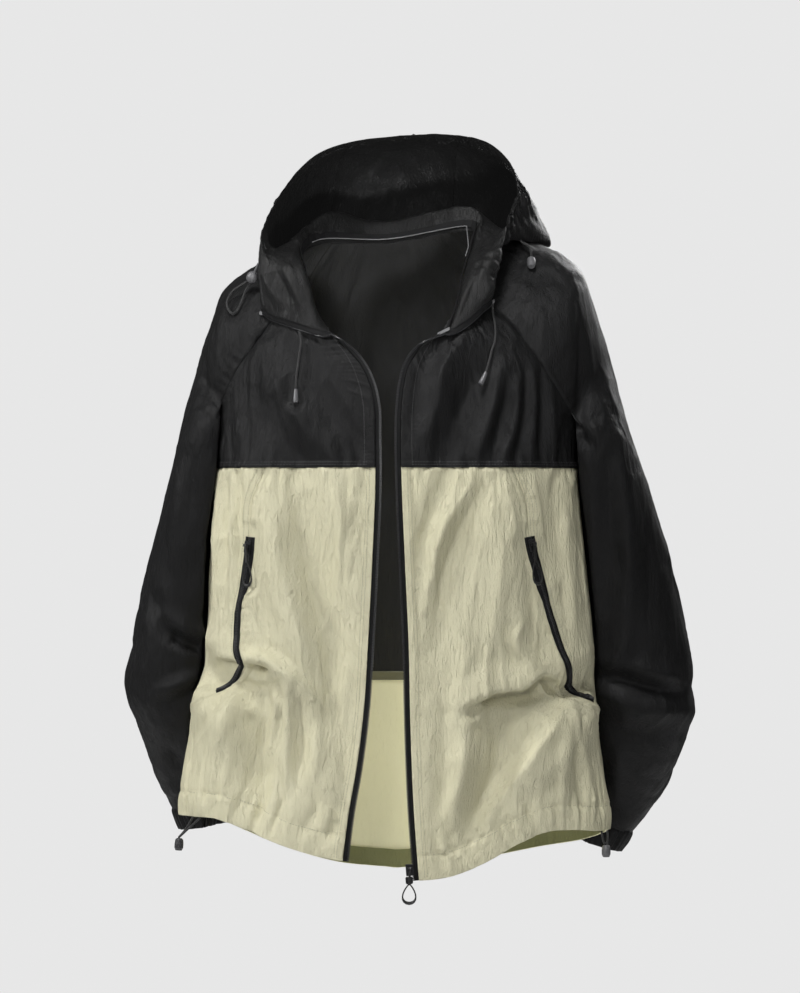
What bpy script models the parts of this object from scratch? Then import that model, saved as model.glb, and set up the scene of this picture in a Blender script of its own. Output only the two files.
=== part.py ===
"""Hooded windbreaker jacket, filled out as if worn and open at the front.

Millimetres in the tables, metres in the scene. +Z is up, +X is the wearer's left
(the right of the view from the front) and -Y is the front. The origin is where the
wearer's shoulders carry the jacket, between the two neck points.
"""
import math

import bmesh
import bpy
import numpy as np
from mathutils import Matrix, Vector

MM = 0.001
WALL = 1.2            # cloth wall of the solids
SEAM_GAP = 0.34       # between two pieces that are sewn together
UNDERARM_GAP = 0.7    # between the body and the sleeve's underside, at their seam
ZIP_GAP = 0.5         # between a front edge and its zip tape
HOOD_LIFT = 0.6       # between the neck seam and the hood
SLIDER_GAP = 0.3      # between a pocket's zip tape and its slider
ON_TOP = 0.8          # clearance below a piece that lies on a panel

# ------------------------------------------------------------------ driving tables (mm)
# The body as horizontal sections: half widths to each side, the depth at which the
# section is widest, and the y of its front and back.
BODY = {
    "z":      (-720, -620, -560, -500, -466, -420, -350, -226, -165, -110, -79, -57, -25, 0, 40),
    "left":   (252, 246, 240, 229, 221, 214, 212, 204, 204, 200, 192, 182, 162, 150, 138),
    "right":  (244, 240, 234, 227, 224, 223, 217, 206, 206, 203, 195, 186, 164, 152, 142),
    "side_y": (-35, -35, -34, -32, -30, -28, -24, -18, -12, -4, 0, 3, 8, 10, 14),
    "front":  (-146, -145, -144, -144, -144, -143, -143, -141, -134, -122, -108, -92, -62, -44, -22),
    "back":   (150, 150, 149, 147, 146, 145, 145, 146, 143, 138, 134, 130, 121, 110, 86),
}
FRONT_FULLNESS = 2.4   # superellipse exponent of the chest
BACK_FULLNESS = 2.0    # and of the back
GIRTH_RADIUS = 180.0   # turns an angle round the body into a length of cloth

# The two front edges, where the zip is sewn, from hem to neck seam.
FRONT_EDGE = {
    "z":     (-700, -662, -607, -555, -490, -427, -330, -226, -193, -158, -131, -115, -101, -88, -78),
    "left":  (-64, -59, -52, -43, -35, -31, -26, -22.5, -23, -24, -30.5, -38, -49, -62, -72),
    "right": (27, 24, 20, 17.5, 15.5, 14.3, 10, 6, 5.5, 6.6, 10, 14.5, 23, 36, 55),
}
# The seam that carries the hand pocket, from the yoke down and out to the side seam, in
# degrees from centre front.
POCKET_SEAM = {
    "z":     (-226, -265, -305, -345, -385, -425, -450, -462, -474, -501),
    "left":  (41.2, 47, 47.2, 48.8, 52.3, 51.6, 48.2, 56.5, 62, 87),
    "right": (34.9, 39.8, 40.3, 43.4, 46.8, 51.3, 54.2, 55.6, 57, 87),
}
# Height of the hem round the body, by the angle from centre front.
HEM = {
    "angle": (0, 10, 20, 30, 40, 50, 65, 90, 120, 135, 150, 165, 180),
    "left":  (-662, -659, -650, -638, -625, -616, -615, -619, -632, -654, -677, -691, -697),
    "right": (-681, -677, -661, -641, -629, -628, -631, -634, -656, -666, -679, -692, -697),
}
# Raglan armholes from the neck (station 0) to the underarm (station 5): the front seam,
# the ridge of the shoulder and upper arm, and the back seam.
RAGLAN_STATION = (0, 1, 2, 3, 4, 5)
RAGLAN = {
    "left": {
        "front_x": (-104, -120, -138, -163, -180, -195),
        "front_z": (-10, -36, -61, -95, -120, -150),
        "ridge_x": (-107, -138, -166, -196, -211, -226),
        "ridge_y": (14, 14, 14, 15, 16, 18),
        "ridge_z": (14, 9, 0, -24, -62, -110),
        "back_x":  (-62, -84, -108, -138, -164, -188),
        "back_z":  (35, 6, -28, -72, -108, -146),
    },
    "right": {
        "front_x": (74, 100, 129, 158, 178, 196),
        "front_z": (-16, -40, -68, -106, -134, -163),
        "ridge_x": (88, 137, 178, 209, 223, 240),
        "ridge_y": (16, 15, 15, 15, 16, 18),
        "ridge_z": (26, 27, 21, 2, -34, -84),
        "back_x":  (50, 76, 104, 138, 165, 190),
        "back_z":  (38, 10, -26, -76, -118, -158),
    },
}
ARMHOLE_DIP = 16.0     # the underarm lies this far below station 5

# The arms as horizontal rings: outer and inner side, front and back, and the slope
# of the ring across the arm.
SLEEVE = {
    "left": {
        "z":     (-180, -226, -300, -380, -440, -490, -536, -582, -618, -644),
        "outer": (-245, -255, -274, -293, -307, -310, -293, -278, -260, -250),
        "inner": (-170, -168, -172, -180, -192, -196, -194, -192, -197, -196),
        "front": (-71, -68, -55, -42, -33, -26, -2, 30, 52, 54),
        "back":  (102, 106, 112, 118, 124, 128, 130, 130, 122, 118),
        "slope": (0.0, 0.0, 0.0, 0.0, 0.0, 0.0, 0.03, 0.08, 0.12, 0.14),
    },
    "right": {
        "z":     (-194, -240, -310, -390, -450, -500, -546, -592, -636, -662),
        "outer": (269, 286, 308, 328, 341, 343, 330, 310, 274, 259),
        "inner": (172, 172, 178, 188, 200, 206, 204, 200, 190, 187),
        "front": (-70, -66, -52, -40, -32, -24, 0, 32, 48, 50),
        "back":  (102, 106, 112, 120, 128, 132, 134, 134, 124, 120),
        "slope": (0.0, 0.0, 0.0, 0.0, 0.0, -0.04, -0.12, -0.22, -0.31, -0.33),
    },
}
CUFF_LENGTH = 23.0
CUFF_GATHERS = 13
CUFF_WAVE = 1.3
SLEEVE_CLEARANCE = 4.0   # between the arm and the side of the body
SLEEVE_FULLNESS = 2.25

# The hood as hoops from the neck seam up to its rim. Each hoop runs from the left
# front edge round the back of the neck to the right front edge, by the points that
# it passes; "at" is how far up the cloth the hoop lies.
HOOD_AROUND = (-1.0, -0.86, -0.70, -0.50, -0.26, 0.0, 0.26, 0.50, 0.70, 0.86, 1.0)
HOOD = (
    {"at": 0.00, "hoop": "neck seam",
     "points": ((-72, -106, -78), (-91, -79, -47), (-104, -39, -9), (-108, 14, 16),
                (-88, 62, 34), (-8, 86, 37), (84, 58, 49), (86, 16, 28),
                (75, -38, -15), (68, -80, -48), (55, -107, -77))},
    {"at": 0.07, "hoop": "collar stand",
     "points": ((-80, -107, -76), (-93, -89, -38), (-105, -48, 2), (-113, 10, 30),
                (-90, 68, 52), (-8, 91, 50), (87, 62, 66), (93, 18, 40),
                (79, -46, -4), (72, -90, -40), (61, -108, -74))},
    {"at": 0.15, "hoop": "fold of the stand",
     "points": ((-88, -107, -73), (-96, -96, -28), (-108, -62, 8), (-122, 0, 28),
                (-82, 82, 70), (-10, 97, 62), (84, 70, 78), (102, 24, 46),
                (84, -56, 4), (76, -97, -30), (67, -107, -70))},
    {"at": 0.32, "hoop": "bottom of the bowl",
     "points": ((-105, -101, -67), (-110, -98, -16), (-124, -74, 8), (-140, 4, 25),
                (-99, 124, 10), (0, 152, -24), (104, 122, 18), (148, 50, 43),
                (104, -44, 18), (90, -95, -14), (81, -102, -60))},
    {"at": 0.52, "hoop": "back of the bowl",
     "points": ((-122, -88, -61), (-128, -90, -12), (-141, -68, 10), (-142, 24, 38),
                (-104, 168, 52), (8, 208, 44), (118, 170, 54), (178, 70, 32),
                (122, -26, 34), (102, -87, 0), (94, -94, -48))},
    {"at": 0.76, "hoop": "top of the bowl",
     "points": ((-138, -78, -55), (-144, -82, -16), (-150, -64, 20), (-143, 0, 62),
                (-88, 118, 132), (24, 158, 154), (112, 124, 134), (161, 50, 72),
                (128, -30, 52), (112, -76, 6), (104, -84, -40))},
    {"at": 0.94, "hoop": "draw cord channel",
     "points": ((-147, -74, -49), (-151, -76, -24), (-153, -58, 24), (-138, -14, 76),
                (-80, 42, 137), (34, 62, 159), (112, 48, 140), (143, 6, 93),
                (128, -34, 56), (116, -69, 8), (107, -77, -36))},
    {"at": 1.00, "hoop": "rim",
     "points": ((-150, -72, -48), (-152, -73, -24), (-153, -57, 24), (-138, -24, 74),
                (-82, 14, 138), (40, 30, 158), (114, 20, 142), (140, -10, 92),
                (127, -40, 52), (117, -67, 8), (108, -75, -35))},
)
HOOD_SEAM_LEFT = -0.20    # the hood's middle panel lies between these two
HOOD_SEAM_RIGHT = 0.13

# Large folds of the body: angle from centre front and height of both ends, width, and
# depth (a trough is positive).
FOLDS = (
    {"fold": "left pinch", "from": (-84, -447), "to": (-38, -470), "width": 15, "depth": 15},
    {"fold": "left puff", "from": (-80, -486), "to": (-40, -520), "width": 22, "depth": -8},
    {"fold": "right pinch", "from": (82, -463), "to": (24, -488), "width": 15, "depth": 12},
    {"fold": "right puff", "from": (74, -500), "to": (38, -560), "width": 22, "depth": -9},
    {"fold": "right drape", "from": (28, -560), "to": (20, -330), "width": 26, "depth": 6},
)

# Zips, sliders and pulls.
ZIP_WIDTH = 6.0
ZIP_THICKNESS = 1.6
POCKET_TAPE = 1.2
POCKET_ZIP_ROWS = 9
POCKET_ZIP_TOP = {"left": -305, "right": -303}
POCKET_ZIP_END = {"left": -474, "right": -489}
POCKET_ZIP_WIDTH = (7.0, 8.5, 10.0)   # at its end, below the slider and at the slider
SLIDER_LENGTH = 13.0
SLIDER_DOWN = 0.72         # a pocket slider's middle, in lengths below the end of its zip
MAIN_SLIDER_RISE = 12.5    # its middle above the end of the tape
MAIN_SLIDER_ASIDE = 3.0    # and beside the teeth's edge of the tape
ZIP_BOX = (8.0, 5.0, 8.0)
ZIP_BOX_RISE = 1.0
NECK_TAPE = {"from": -0.70, "to": 0.985, "low": 0.014, "high": 0.05, "lift": 1.3}
SLIDER_WIDTH = 8.6
SLIDER_PLATE = 2.0
BAR_RADIUS = 0.8
BAR_HEIGHT = 2.7       # bar centre in front of the plate
EAR_GAP = 3.4
EAR_THICKNESS = 1.3
EYE_RADIUS = 2.1
EYE_HOLE = 1.25
EYE_WIDTH = 2.4
POCKET_LOOP = {"tab": 19.0, "width": 15.0, "length": 27.0, "strand": 0.8, "arc": 1.8}
MAIN_LOOP = {"tab": 18.0, "width": 19.0, "length": 21.0, "strand": 0.8, "arc": 1.9}
PULL_LEAN = {"main": 0.10, "left": -0.20, "right": 0.13}    # sideways turn about the eye
HEM_FACING = 21.0
HEM_TURN = 0.003         # the facing starts this share of the lower back above the hem

# Cords on the outside: routes are chosen by hand, in mm.
CORD_DIAMETER = 2.4
CORD_POINTS = 12
CORD_ROUTES = {
    "hood_cord_left": ((-107.6, -99.4, -74.3), (-106.5, -102, -79), (-105.4, -106, -87),
                       (-107, -111.5, -100), (-108.5, -114.5, -112.5), (-110, -118, -126),
                       (-110.5, -120.6, -139)),
    "hood_cord_right": ((108.1, -71.7, -41.8), (108.5, -74, -50), (110.6, -88, -68),
                        (109.8, -101.5, -86.5), (106.5, -108, -96), (104.4, -112.5, -104.6),
                        (99.9, -119.2, -120.4)),
    "hood_loop_left": ((-167.8, -51, -16.3), (-175, -49, -20.5), (-185, -47.5, -28), (-190, -49.5, -38),
                       (-188.5, -56, -48), (-183, -62, -53), (-177.5, -61.5, -48), (-173.5, -58, -39),
                       (-170, -54, -29), (-165, -50.5, -18.6)),
    "hood_loop_right": ((141.9, 4.6, 33.8), (144, -4, 31), (148, -13, 28.5), (152, -21.5, 23.5),
                        (153.3, -26.2, 17.5), (153, -28, 12.4)),
    "hem_loop_left": ((-226.5, -87.5, -616), (-234, -84, -628), (-239.5, -82.5, -635.5),
                      (-241.5, -84, -638), (-239, -86.5, -636), (-231, -91.5, -628),
                      (-218, -96, -616)),
    "hem_loop_right": ((229.5, -79.5, -632), (231, -80, -639), (232.5, -79, -645), (234.5, -77, -647),
                       (236.2, -75, -645), (237, -73, -639), (236.6, -71.5, -632)),
}
# Pieces turned on a lathe: (radius, height) down the axis, and the axis from top to bottom.
CORD_TIP = ((0, 0), (1.7, -0.01), (2.1, -2.5), (2.9, -13.0), (2.6, -15.4), (0, -15.4))
BALL = ((0, 13), (1.35, 12.9), (1.35, -0.6), (4.6, -1.9), (6.3, -5), (6.6, -7.4), (6.0, -10.4),
        (3.9, -13.2), (0, -13.8))
TOGGLE = ((0, 0), (3.0, -0.01), (4.4, -1.5), (5.0, -6.0), (4.9, -10.5), (3.6, -13.4), (0, -13.6))
TURNED = {
    "hood_tip_left": (CORD_TIP, "grey_plastic", (-110.5, -120.8, -139.3), (-110.6, -123.6, -155)),
    "hood_tip_right": (CORD_TIP, "grey_plastic", (99.7, -119.5, -120.8), (93.2, -125.2, -135)),
    "hood_lock_left": (BALL, "grey_plastic", (-159.2, -56.4, -6.3), (-164.4, -48.2, -16.2)),
    "hood_lock_right": (TOGGLE, "grey_plastic", (153, -28.4, 11.6), (153, -37.2, 1.2)),
    "hem_lock_left": (TOGGLE, "grey_plastic", (-241.6, -84.3, -639.6), (-242.6, -84.3, -654)),
    "hem_lock_right": (TOGGLE, "grey_plastic", (235, -77, -647.8), (235, -77, -662)),
}

# Materials: base colour, roughness, metallic.
MATERIALS = {
    "black_nylon": ((0.022, 0.022, 0.023), 0.55, 0.0),
    "sage_nylon": ((0.52, 0.50, 0.36), 0.6, 0.0),
    "zip_tape": ((0.015, 0.015, 0.016), 0.7, 0.0),
    "dark_metal": ((0.09, 0.09, 0.095), 0.35, 1.0),
    "grey_plastic": ((0.20, 0.20, 0.205), 0.4, 0.0),
    "cord_black": ((0.03, 0.03, 0.03), 0.75, 0.0),
}

# Mesh resolution.
CUFF_COLUMNS = 52
FRONT_COLUMNS = 9
POCKET_COLUMNS = 3
BACK_COLUMNS = 20
LOWER_ROWS = 20
WEDGE_SHARE = 0.70     # the pocket's side panel narrows to its tail this far down to the hem
WEDGE_TAIL = 0.7       # length of the tail, in rows
WEDGE_TAPER = 1.2      # it narrows this much faster than the hole that it fills
YOKE_ROWS = (0.0, 0.16, 0.30, 0.34, 0.38, 0.46, 0.56, 0.66, 0.77, 0.88, 1.0)
SLEEVE_OUTER = 10
SLEEVE_INNER = 7
HOOD_ROWS = (0.0, 0.05, 0.10, 0.15, 0.21, 0.28, 0.36, 0.44, 0.52, 0.60, 0.68, 0.76, 0.85, 0.94, 1.0)


# ------------------------------------------------------------------ curves and sections
def spline(knots, values, at):
    """Smooth curve through values at knots (cubic Hermite, monotone-safe ends)."""
    knots = np.asarray(knots, float)
    values = np.asarray(values, float)
    at = np.asarray(at, float)
    if values.ndim > 1:
        return np.stack([spline(knots, values[:, k], at) for k in range(values.shape[1])], -1)
    step = np.diff(knots)
    slope = np.diff(values) / step
    tangent = np.empty_like(values)
    tangent[0] = slope[0]
    tangent[-1] = slope[-1]
    tangent[1:-1] = (slope[:-1] * step[1:] + slope[1:] * step[:-1]) / (step[:-1] + step[1:])
    clipped = np.clip(at, knots[0], knots[-1])
    i = np.clip(np.searchsorted(knots, clipped, side="right") - 1, 0, len(step) - 1)
    h = step[i]
    t = (clipped - knots[i]) / h
    start = (1 + 2 * t) * (1 - t) ** 2 * values[i] + t * (1 - t) ** 2 * h * tangent[i]
    end = t * t * (3 - 2 * t) * values[i + 1] + t * t * (t - 1) * h * tangent[i + 1]
    return start + end


def unit(vectors):
    """Vectors at length one."""
    return vectors / np.maximum(np.linalg.norm(vectors, axis=-1, keepdims=True), 1e-9)


def section(z, side):
    """Half width, widest y, front y and back y of the body at height z."""
    return [spline(BODY["z"], BODY[name], z) for name in (side, "side_y", "front", "back")]


def fold_depth(phi, z):
    """How far the large folds push the body's cloth in (positive) at an angle and height."""
    depth = np.zeros(np.broadcast(phi, z).shape)
    for fold in FOLDS:
        a = np.array((math.radians(fold["from"][0]) * GIRTH_RADIUS, fold["from"][1]))
        b = np.array((math.radians(fold["to"][0]) * GIRTH_RADIUS, fold["to"][1]))
        px = phi * GIRTH_RADIUS - a[0]
        pz = z - a[1]
        run = b - a
        t = np.clip((px * run[0] + pz * run[1]) / (run @ run), 0, 1)
        away = np.hypot(px - t * run[0], pz - t * run[1]) / fold["width"]
        fade = np.sin(np.pi * (0.08 + 0.84 * t)) ** 0.6
        depth = depth + fold["depth"] * fade * (np.exp(-away ** 2) - 0.3 * np.exp(-(away - 2.1) ** 2))
    return depth


def body_base(phi, z):
    """Point of the body's section at angle phi from centre front (negative on the left)."""
    phi = np.asarray(phi, float)
    z = np.asarray(z, float) + 0 * phi
    phi = phi + 0 * z
    left = section(z, "left")
    right = section(z, "right")
    half = np.where(phi < 0, left[0], right[0])
    side_y, front, back = left[1:]
    turn = np.abs(phi)
    front_half = turn < math.pi / 2
    power = np.where(front_half, 2 / FRONT_FULLNESS, 2 / BACK_FULLNESS)
    across = np.abs(np.sin(turn)) ** power
    along = np.abs(np.cos(turn)) ** power
    x = np.sign(phi) * half * across
    y = np.where(front_half, side_y - (side_y - front) * along, side_y + (back - side_y) * along)
    return np.stack([x, y, z], -1)


def body_normal(phi, z):
    """Outward normal of the body's section surface."""
    step = 0.02
    around = body_base(phi + step, z) - body_base(phi - step, z)
    up = body_base(phi, z + 2.0) - body_base(phi, z - 2.0)
    return unit(np.cross(around, up))


def body_point(phi, z):
    """Body surface with its large folds."""
    return body_base(phi, z) - fold_depth(phi, z)[..., None] * body_normal(phi, z)


def angle_of(x, z, side, behind=False):
    """Angle round the body at which its section passes x, on the front or the back."""
    half = spline(BODY["z"], BODY[side], z)
    fullness = BACK_FULLNESS if behind else FRONT_FULLNESS
    share = np.clip(np.abs(x) / half, 0, 1) ** (fullness / 2)
    turn = np.arcsin(share)
    if behind:
        turn = math.pi - turn
    return np.sign(x) * turn


def edge_angle(side, z):
    """Angle of the front edge on one side at height z."""
    return angle_of(spline(FRONT_EDGE["z"], FRONT_EDGE[side], z), z, side)


def pocket_angle(side, z):
    """Angle of the pocket seam on one side at height z."""
    turn = spline(POCKET_SEAM["z"][::-1], POCKET_SEAM[side][::-1], z)
    return sign_of(side) * np.radians(turn)


def hem_height(phi):
    """Height of the hem at an angle."""
    turn = np.degrees(np.abs(phi))
    left = spline(HEM["angle"], HEM["left"], turn)
    right = spline(HEM["angle"], HEM["right"], turn)
    return np.where(phi < 0, left, right)


def sign_of(side):
    """-1 on the left of the view, +1 on the right."""
    return -1 if side == "left" else 1


YOKE_SEAM = -226.0
BACK_SEAM = -466.0


def armhole(side, station, name):
    """Angle and height of the raglan seam, front or back, at a station."""
    rows = RAGLAN[side]
    x = spline(RAGLAN_STATION, rows[name + "_x"], station)
    z = spline(RAGLAN_STATION, rows[name + "_z"], station)
    return angle_of(x, z, side, behind=(name == "back")), z


def underarm(side, share):
    """Angle and height along the bottom of the armhole, front (0) to back (1)."""
    phi_front, z_front = armhole(side, 5.0, "front")
    phi_back, z_back = armhole(side, 5.0, "back")
    phi = phi_front + (phi_back - phi_front) * share
    z = z_front + (z_back - z_front) * share - ARMHOLE_DIP * np.sin(np.pi * share)
    return phi, z


def side_share(side):
    """Where along the armhole's bottom the side seam starts."""
    phi_front, _ = armhole(side, 5.0, "front")
    phi_back, _ = armhole(side, 5.0, "back")
    return (sign_of(side) * math.pi / 2 - phi_front) / (phi_back - phi_front)


SIDE_PART = 0.30       # share of the yoke's rows along the side seam
UNDERARM_PART = 0.38   # and up to the end of the armhole's bottom
NECK_EASE = 0.55       # rows above this bend towards the neck seam
BACK_NECK_TOP = 36.0   # height of the back's middle before it bends to the neck seam
BACK_ROW_RISE = 0.85   # how far the back's rows rise towards their middle


def row_of_station(station):
    """The yoke row at which a station of the raglan seam lies."""
    return 1 - station / 5.0 * (1 - UNDERARM_PART)


def upper_boundary(side, name, row):
    """Outer edge of the yoke or of the back's top, row 0 at the side seam, 1 at the neck."""
    row = np.asarray(row, float)
    start = YOKE_SEAM
    _, z_under = underarm(side, side_share(side))
    phi_side = sign_of(side) * math.pi / 2 + 0 * row
    z_side = start + (z_under - start) * np.clip(row / SIDE_PART, 0, 1)
    share = np.clip((row - SIDE_PART) / (UNDERARM_PART - SIDE_PART), 0, 1)
    target = 0.0 if name == "front" else 1.0
    phi_u, z_u = underarm(side, side_share(side) + (target - side_share(side)) * share)
    station = 5.0 * (1 - np.clip((row - UNDERARM_PART) / (1 - UNDERARM_PART), 0, 1))
    phi_r, z_r = armhole(side, station, name)
    phi = np.where(row <= SIDE_PART, phi_side, np.where(row <= UNDERARM_PART, phi_u, phi_r))
    z = np.where(row <= SIDE_PART, z_side, np.where(row <= UNDERARM_PART, z_u, z_r))
    return phi, z


# ------------------------------------------------------------------ hood surface
def hood_point(around, up):
    """Hood surface: around runs -1 (left front edge) to 1 (right), up runs 0 (neck) to 1 (rim)."""
    around = np.asarray(around, float)
    up = np.asarray(up, float)
    around, up = np.broadcast_arrays(around, up)
    levels = [hoop["at"] for hoop in HOOD]
    shape = around.shape
    hoops = [spline(HOOD_AROUND, hoop["points"], around.ravel()) for hoop in HOOD]
    stack = np.stack(hoops)
    flat_up = up.ravel()
    knots = np.asarray(levels)
    step = np.diff(knots)
    slope = np.diff(stack, axis=0) / step[:, None, None]
    tangent = np.empty_like(stack)
    tangent[0] = slope[0]
    tangent[-1] = slope[-1]
    weight = step[:, None, None]
    tangent[1:-1] = (slope[:-1] * weight[1:] + slope[1:] * weight[:-1]) / (weight[:-1] + weight[1:])
    i = np.clip(np.searchsorted(knots, flat_up, side="right") - 1, 0, len(step) - 1)
    pick = np.arange(len(flat_up))
    h = step[i][:, None]
    t = ((flat_up - knots[i]) / step[i])[:, None]
    start = (1 + 2 * t) * (1 - t) ** 2 * stack[i, pick] + t * (1 - t) ** 2 * h * tangent[i, pick]
    end = t * t * (3 - 2 * t) * stack[i + 1, pick] + t * t * (t - 1) * h * tangent[i + 1, pick]
    return (start + end).reshape(shape + (3,))


def hood_normal(around, up):
    """Normal of the hood on the side that shows outward when it is worn up."""
    a0 = hood_point(np.clip(around - 0.01, -1, 1), up)
    a1 = hood_point(np.clip(around + 0.01, -1, 1), up)
    u0 = hood_point(around, np.clip(up - 0.01, 0, 1))
    u1 = hood_point(around, np.clip(up + 0.01, 0, 1))
    return unit(np.cross(u1 - u0, a1 - a0))


NECK_FRONT = 0.70   # hood_around at the front raglan seam's top
NECK_BACK = 0.20    # and at the back raglan seam's top


def neck_point(around):
    """The neck seam."""
    return hood_point(around, np.zeros_like(np.asarray(around, float)))


# ------------------------------------------------------------------ grids on the body
def along_of(line):
    """Direction of a row or column of points."""
    return unit(np.gradient(line, axis=0))


def inward(border, neighbour):
    """Direction across a border into the cloth, square to the border."""
    step = neighbour - border
    along = along_of(border)
    return unit(step - (step * along).sum(-1, keepdims=True) * along)


def trim(grid, edges):
    """Draw the named edges of a grid back by half of the seam gap, along the cloth."""
    cut = grid.copy()
    lines = {"lower": ((0,), (1,)), "upper": ((-1,), (-2,)),
             "first": ((slice(None), 0), (slice(None), 1)),
             "last": ((slice(None), -1), (slice(None), -2))}
    for edge in edges:
        border, neighbour = lines[edge]
        cut[border] += inward(grid[border], grid[neighbour]) * SEAM_GAP / 2
    return cut


def lower_grid(phi_start, phi_end, top, columns, down):
    """Body cloth from a height down to the hem, between two angles that depend on height.

    down holds the share of the way to the hem of each row.
    """
    share = np.linspace(0, 1, columns + 1)
    rows = len(down) - 1
    phi = np.empty((rows + 1, columns + 1))
    z = np.empty_like(phi)
    for r, v in enumerate(down):
        level = np.full(columns + 1, top, float)
        for _ in range(4):
            angle = phi_start(level) + (phi_end(level) - phi_start(level)) * share
            level = top + (hem_height(angle) - top) * v
        phi[r] = angle
        z[r] = level
    return phi[::-1], z[::-1]


def yoke_grid(side, columns, rows):
    """Angles and heights of the front yoke, outer edge first."""
    rows = np.asarray(rows, float)
    phi_out, z_out = upper_boundary(side, "front", rows)
    z_in = YOKE_SEAM + (FRONT_EDGE["z"][-1] - YOKE_SEAM) * rows
    phi_in = edge_angle(side, z_in)
    share = np.linspace(0, 1, columns + 1)
    phi = phi_out[:, None] + (phi_in - phi_out)[:, None] * share
    z = z_out[:, None] + (z_in - z_out)[:, None] * share
    return phi, z


def neck_fade(row):
    """How far a row follows the neck seam: 1 on the seam, 0 below the shoulders."""
    fade = np.clip((np.asarray(row, float) - NECK_EASE) / (1 - NECK_EASE), 0, 1)
    return fade * fade * (3 - 2 * fade)


def ease_to_neck(points, rows, target):
    """Bend the top rows so that the last one lies on the neck seam."""
    return points + neck_fade(rows)[:, None, None] * (target - points[-1])


def yoke_points(side, columns, rows):
    """Front yoke surface and normals."""
    phi, z = yoke_grid(side, columns, rows)
    share = np.linspace(0, 1, columns + 1)
    around = sign_of(side) * (NECK_FRONT + (1 - NECK_FRONT) * share)
    points = ease_to_neck(body_point(phi, z), rows, neck_point(around))
    return points, body_normal(phi, z)


def back_top_points(columns, rows):
    """Top of the back, from the left raglan seam round to the right one."""
    rows = np.asarray(rows, float)
    phi_l, z_l = upper_boundary("left", "back", rows)
    phi_r, z_r = upper_boundary("right", "back", rows)
    share = np.linspace(0, 1, columns + 1)
    phi_l = phi_l + 2 * math.pi
    phi = phi_r[:, None] + (phi_l - phi_r)[:, None] * share
    rise = 1 - (2 * share - 1) ** 2
    side_z = z_r[:, None] + (z_l - z_r)[:, None] * share
    full = YOKE_SEAM + (BACK_NECK_TOP - YOKE_SEAM) * rows
    z = side_z + (full[:, None] - side_z) * np.sqrt(np.clip(rise, 0, 1)) * BACK_ROW_RISE
    phi = np.where(phi > math.pi, phi - 2 * math.pi, phi)
    around = NECK_BACK * (1 - 2 * share)
    points = ease_to_neck(body_point(phi, z), rows, neck_point(around))
    return points, body_normal(phi, z)


# ------------------------------------------------------------------ sleeves
def push_out(points, clearance):
    """Move points that come too near the body sideways out of it."""
    x, y, z = np.moveaxis(points, -1, 0)
    left = section(z, "left")
    right = section(z, "right")
    half = np.where(x < 0, left[0], right[0])
    side_y, front, back = left[1:]
    depth = np.where(y < side_y, side_y - front, back - side_y)
    power = np.where(y < side_y, FRONT_FULLNESS, BACK_FULLNESS)
    along = np.clip(np.abs(y - side_y) / depth, 0, 1)
    wall = half * (1 - along ** power) ** (1 / power)
    need = np.where(along < 1, wall + clearance * (1 + 1.2 * along), 0)
    moved = points.copy()
    moved[..., 0] = np.sign(x) * np.maximum(np.abs(x), need)
    return moved


def cap_arc(angle, front, ridge, back):
    """Rounded arc from a front point over a ridge point to a back point."""
    centre = (front + back) / 2
    power = 2 / SLEEVE_FULLNESS
    c = np.sign(np.cos(angle)) * np.abs(np.cos(angle)) ** power
    s = np.abs(np.sin(angle)) ** power
    return centre + np.outer(c, (front - back) / 2) + np.outer(s, ridge - centre)


def sleeve_cap_ring(side, station, angle):
    """Sleeve head: ring from the front raglan seam over the ridge to the back seam."""
    rows = RAGLAN[side]
    around = sign_of(side) * (NECK_FRONT + (NECK_BACK - NECK_FRONT) * angle / math.pi)
    neck = neck_point(around)

    def unbent(at):
        front = body_point(*armhole(side, at, "front"))
        back = body_point(*armhole(side, at, "back"))
        ridge = np.array([spline(RAGLAN_STATION, rows["ridge_" + axis], at) for axis in "xyz"])
        return cap_arc(angle, front, ridge, back)

    fade = neck_fade(row_of_station(station))
    return unbent(station) + fade * (neck - unbent(0.0))


def sleeve_ring(side, z, angle):
    """Arm ring at height z: angle 0 at the front, 90 degrees outside, 180 at the back."""
    rows = SLEEVE[side]
    knots = rows["z"][::-1]
    outer, inner, front, back, slope = [
        spline(knots, rows[name][::-1], z) for name in ("outer", "inner", "front", "back", "slope")]
    power = 2 / SLEEVE_FULLNESS
    c = np.sign(np.cos(angle)) * np.abs(np.cos(angle)) ** power
    s = np.sign(np.sin(angle)) * np.abs(np.sin(angle)) ** power
    x = (outer + inner) / 2 + s * (outer - inner) / 2
    y = (front + back) / 2 - c * (back - front) / 2
    middle = (outer + inner) / 2
    points = push_out(np.stack([x, y, z + slope * (x - middle)], -1), SLEEVE_CLEARANCE)
    points[..., 2] = z + slope * (points[..., 0] - middle)
    return points


def sleeve_surface(side, cap_stations, arm_heights, outer, inner):
    """Outer and inner grids of a sleeve; they share the front and back lines."""
    over = np.linspace(0, math.pi, outer + 1)
    under = np.linspace(math.pi, 2 * math.pi, inner + 1)
    cap = [sleeve_cap_ring(side, s, over) for s in cap_stations]
    arm_over = [sleeve_ring(side, z, over) for z in arm_heights]
    share = np.linspace(1, 0, inner + 1)
    bottom = body_point(*underarm(side, share))
    arm_under = [sleeve_ring(side, z, under) for z in arm_heights]
    cap.append((cap[-1] + arm_over[0]) / 2)
    bend = push_out((bottom + arm_under[0]) / 2, SLEEVE_CLEARANCE / 2)
    return np.stack(cap + arm_over), np.stack([bottom, bend] + arm_under)


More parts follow.
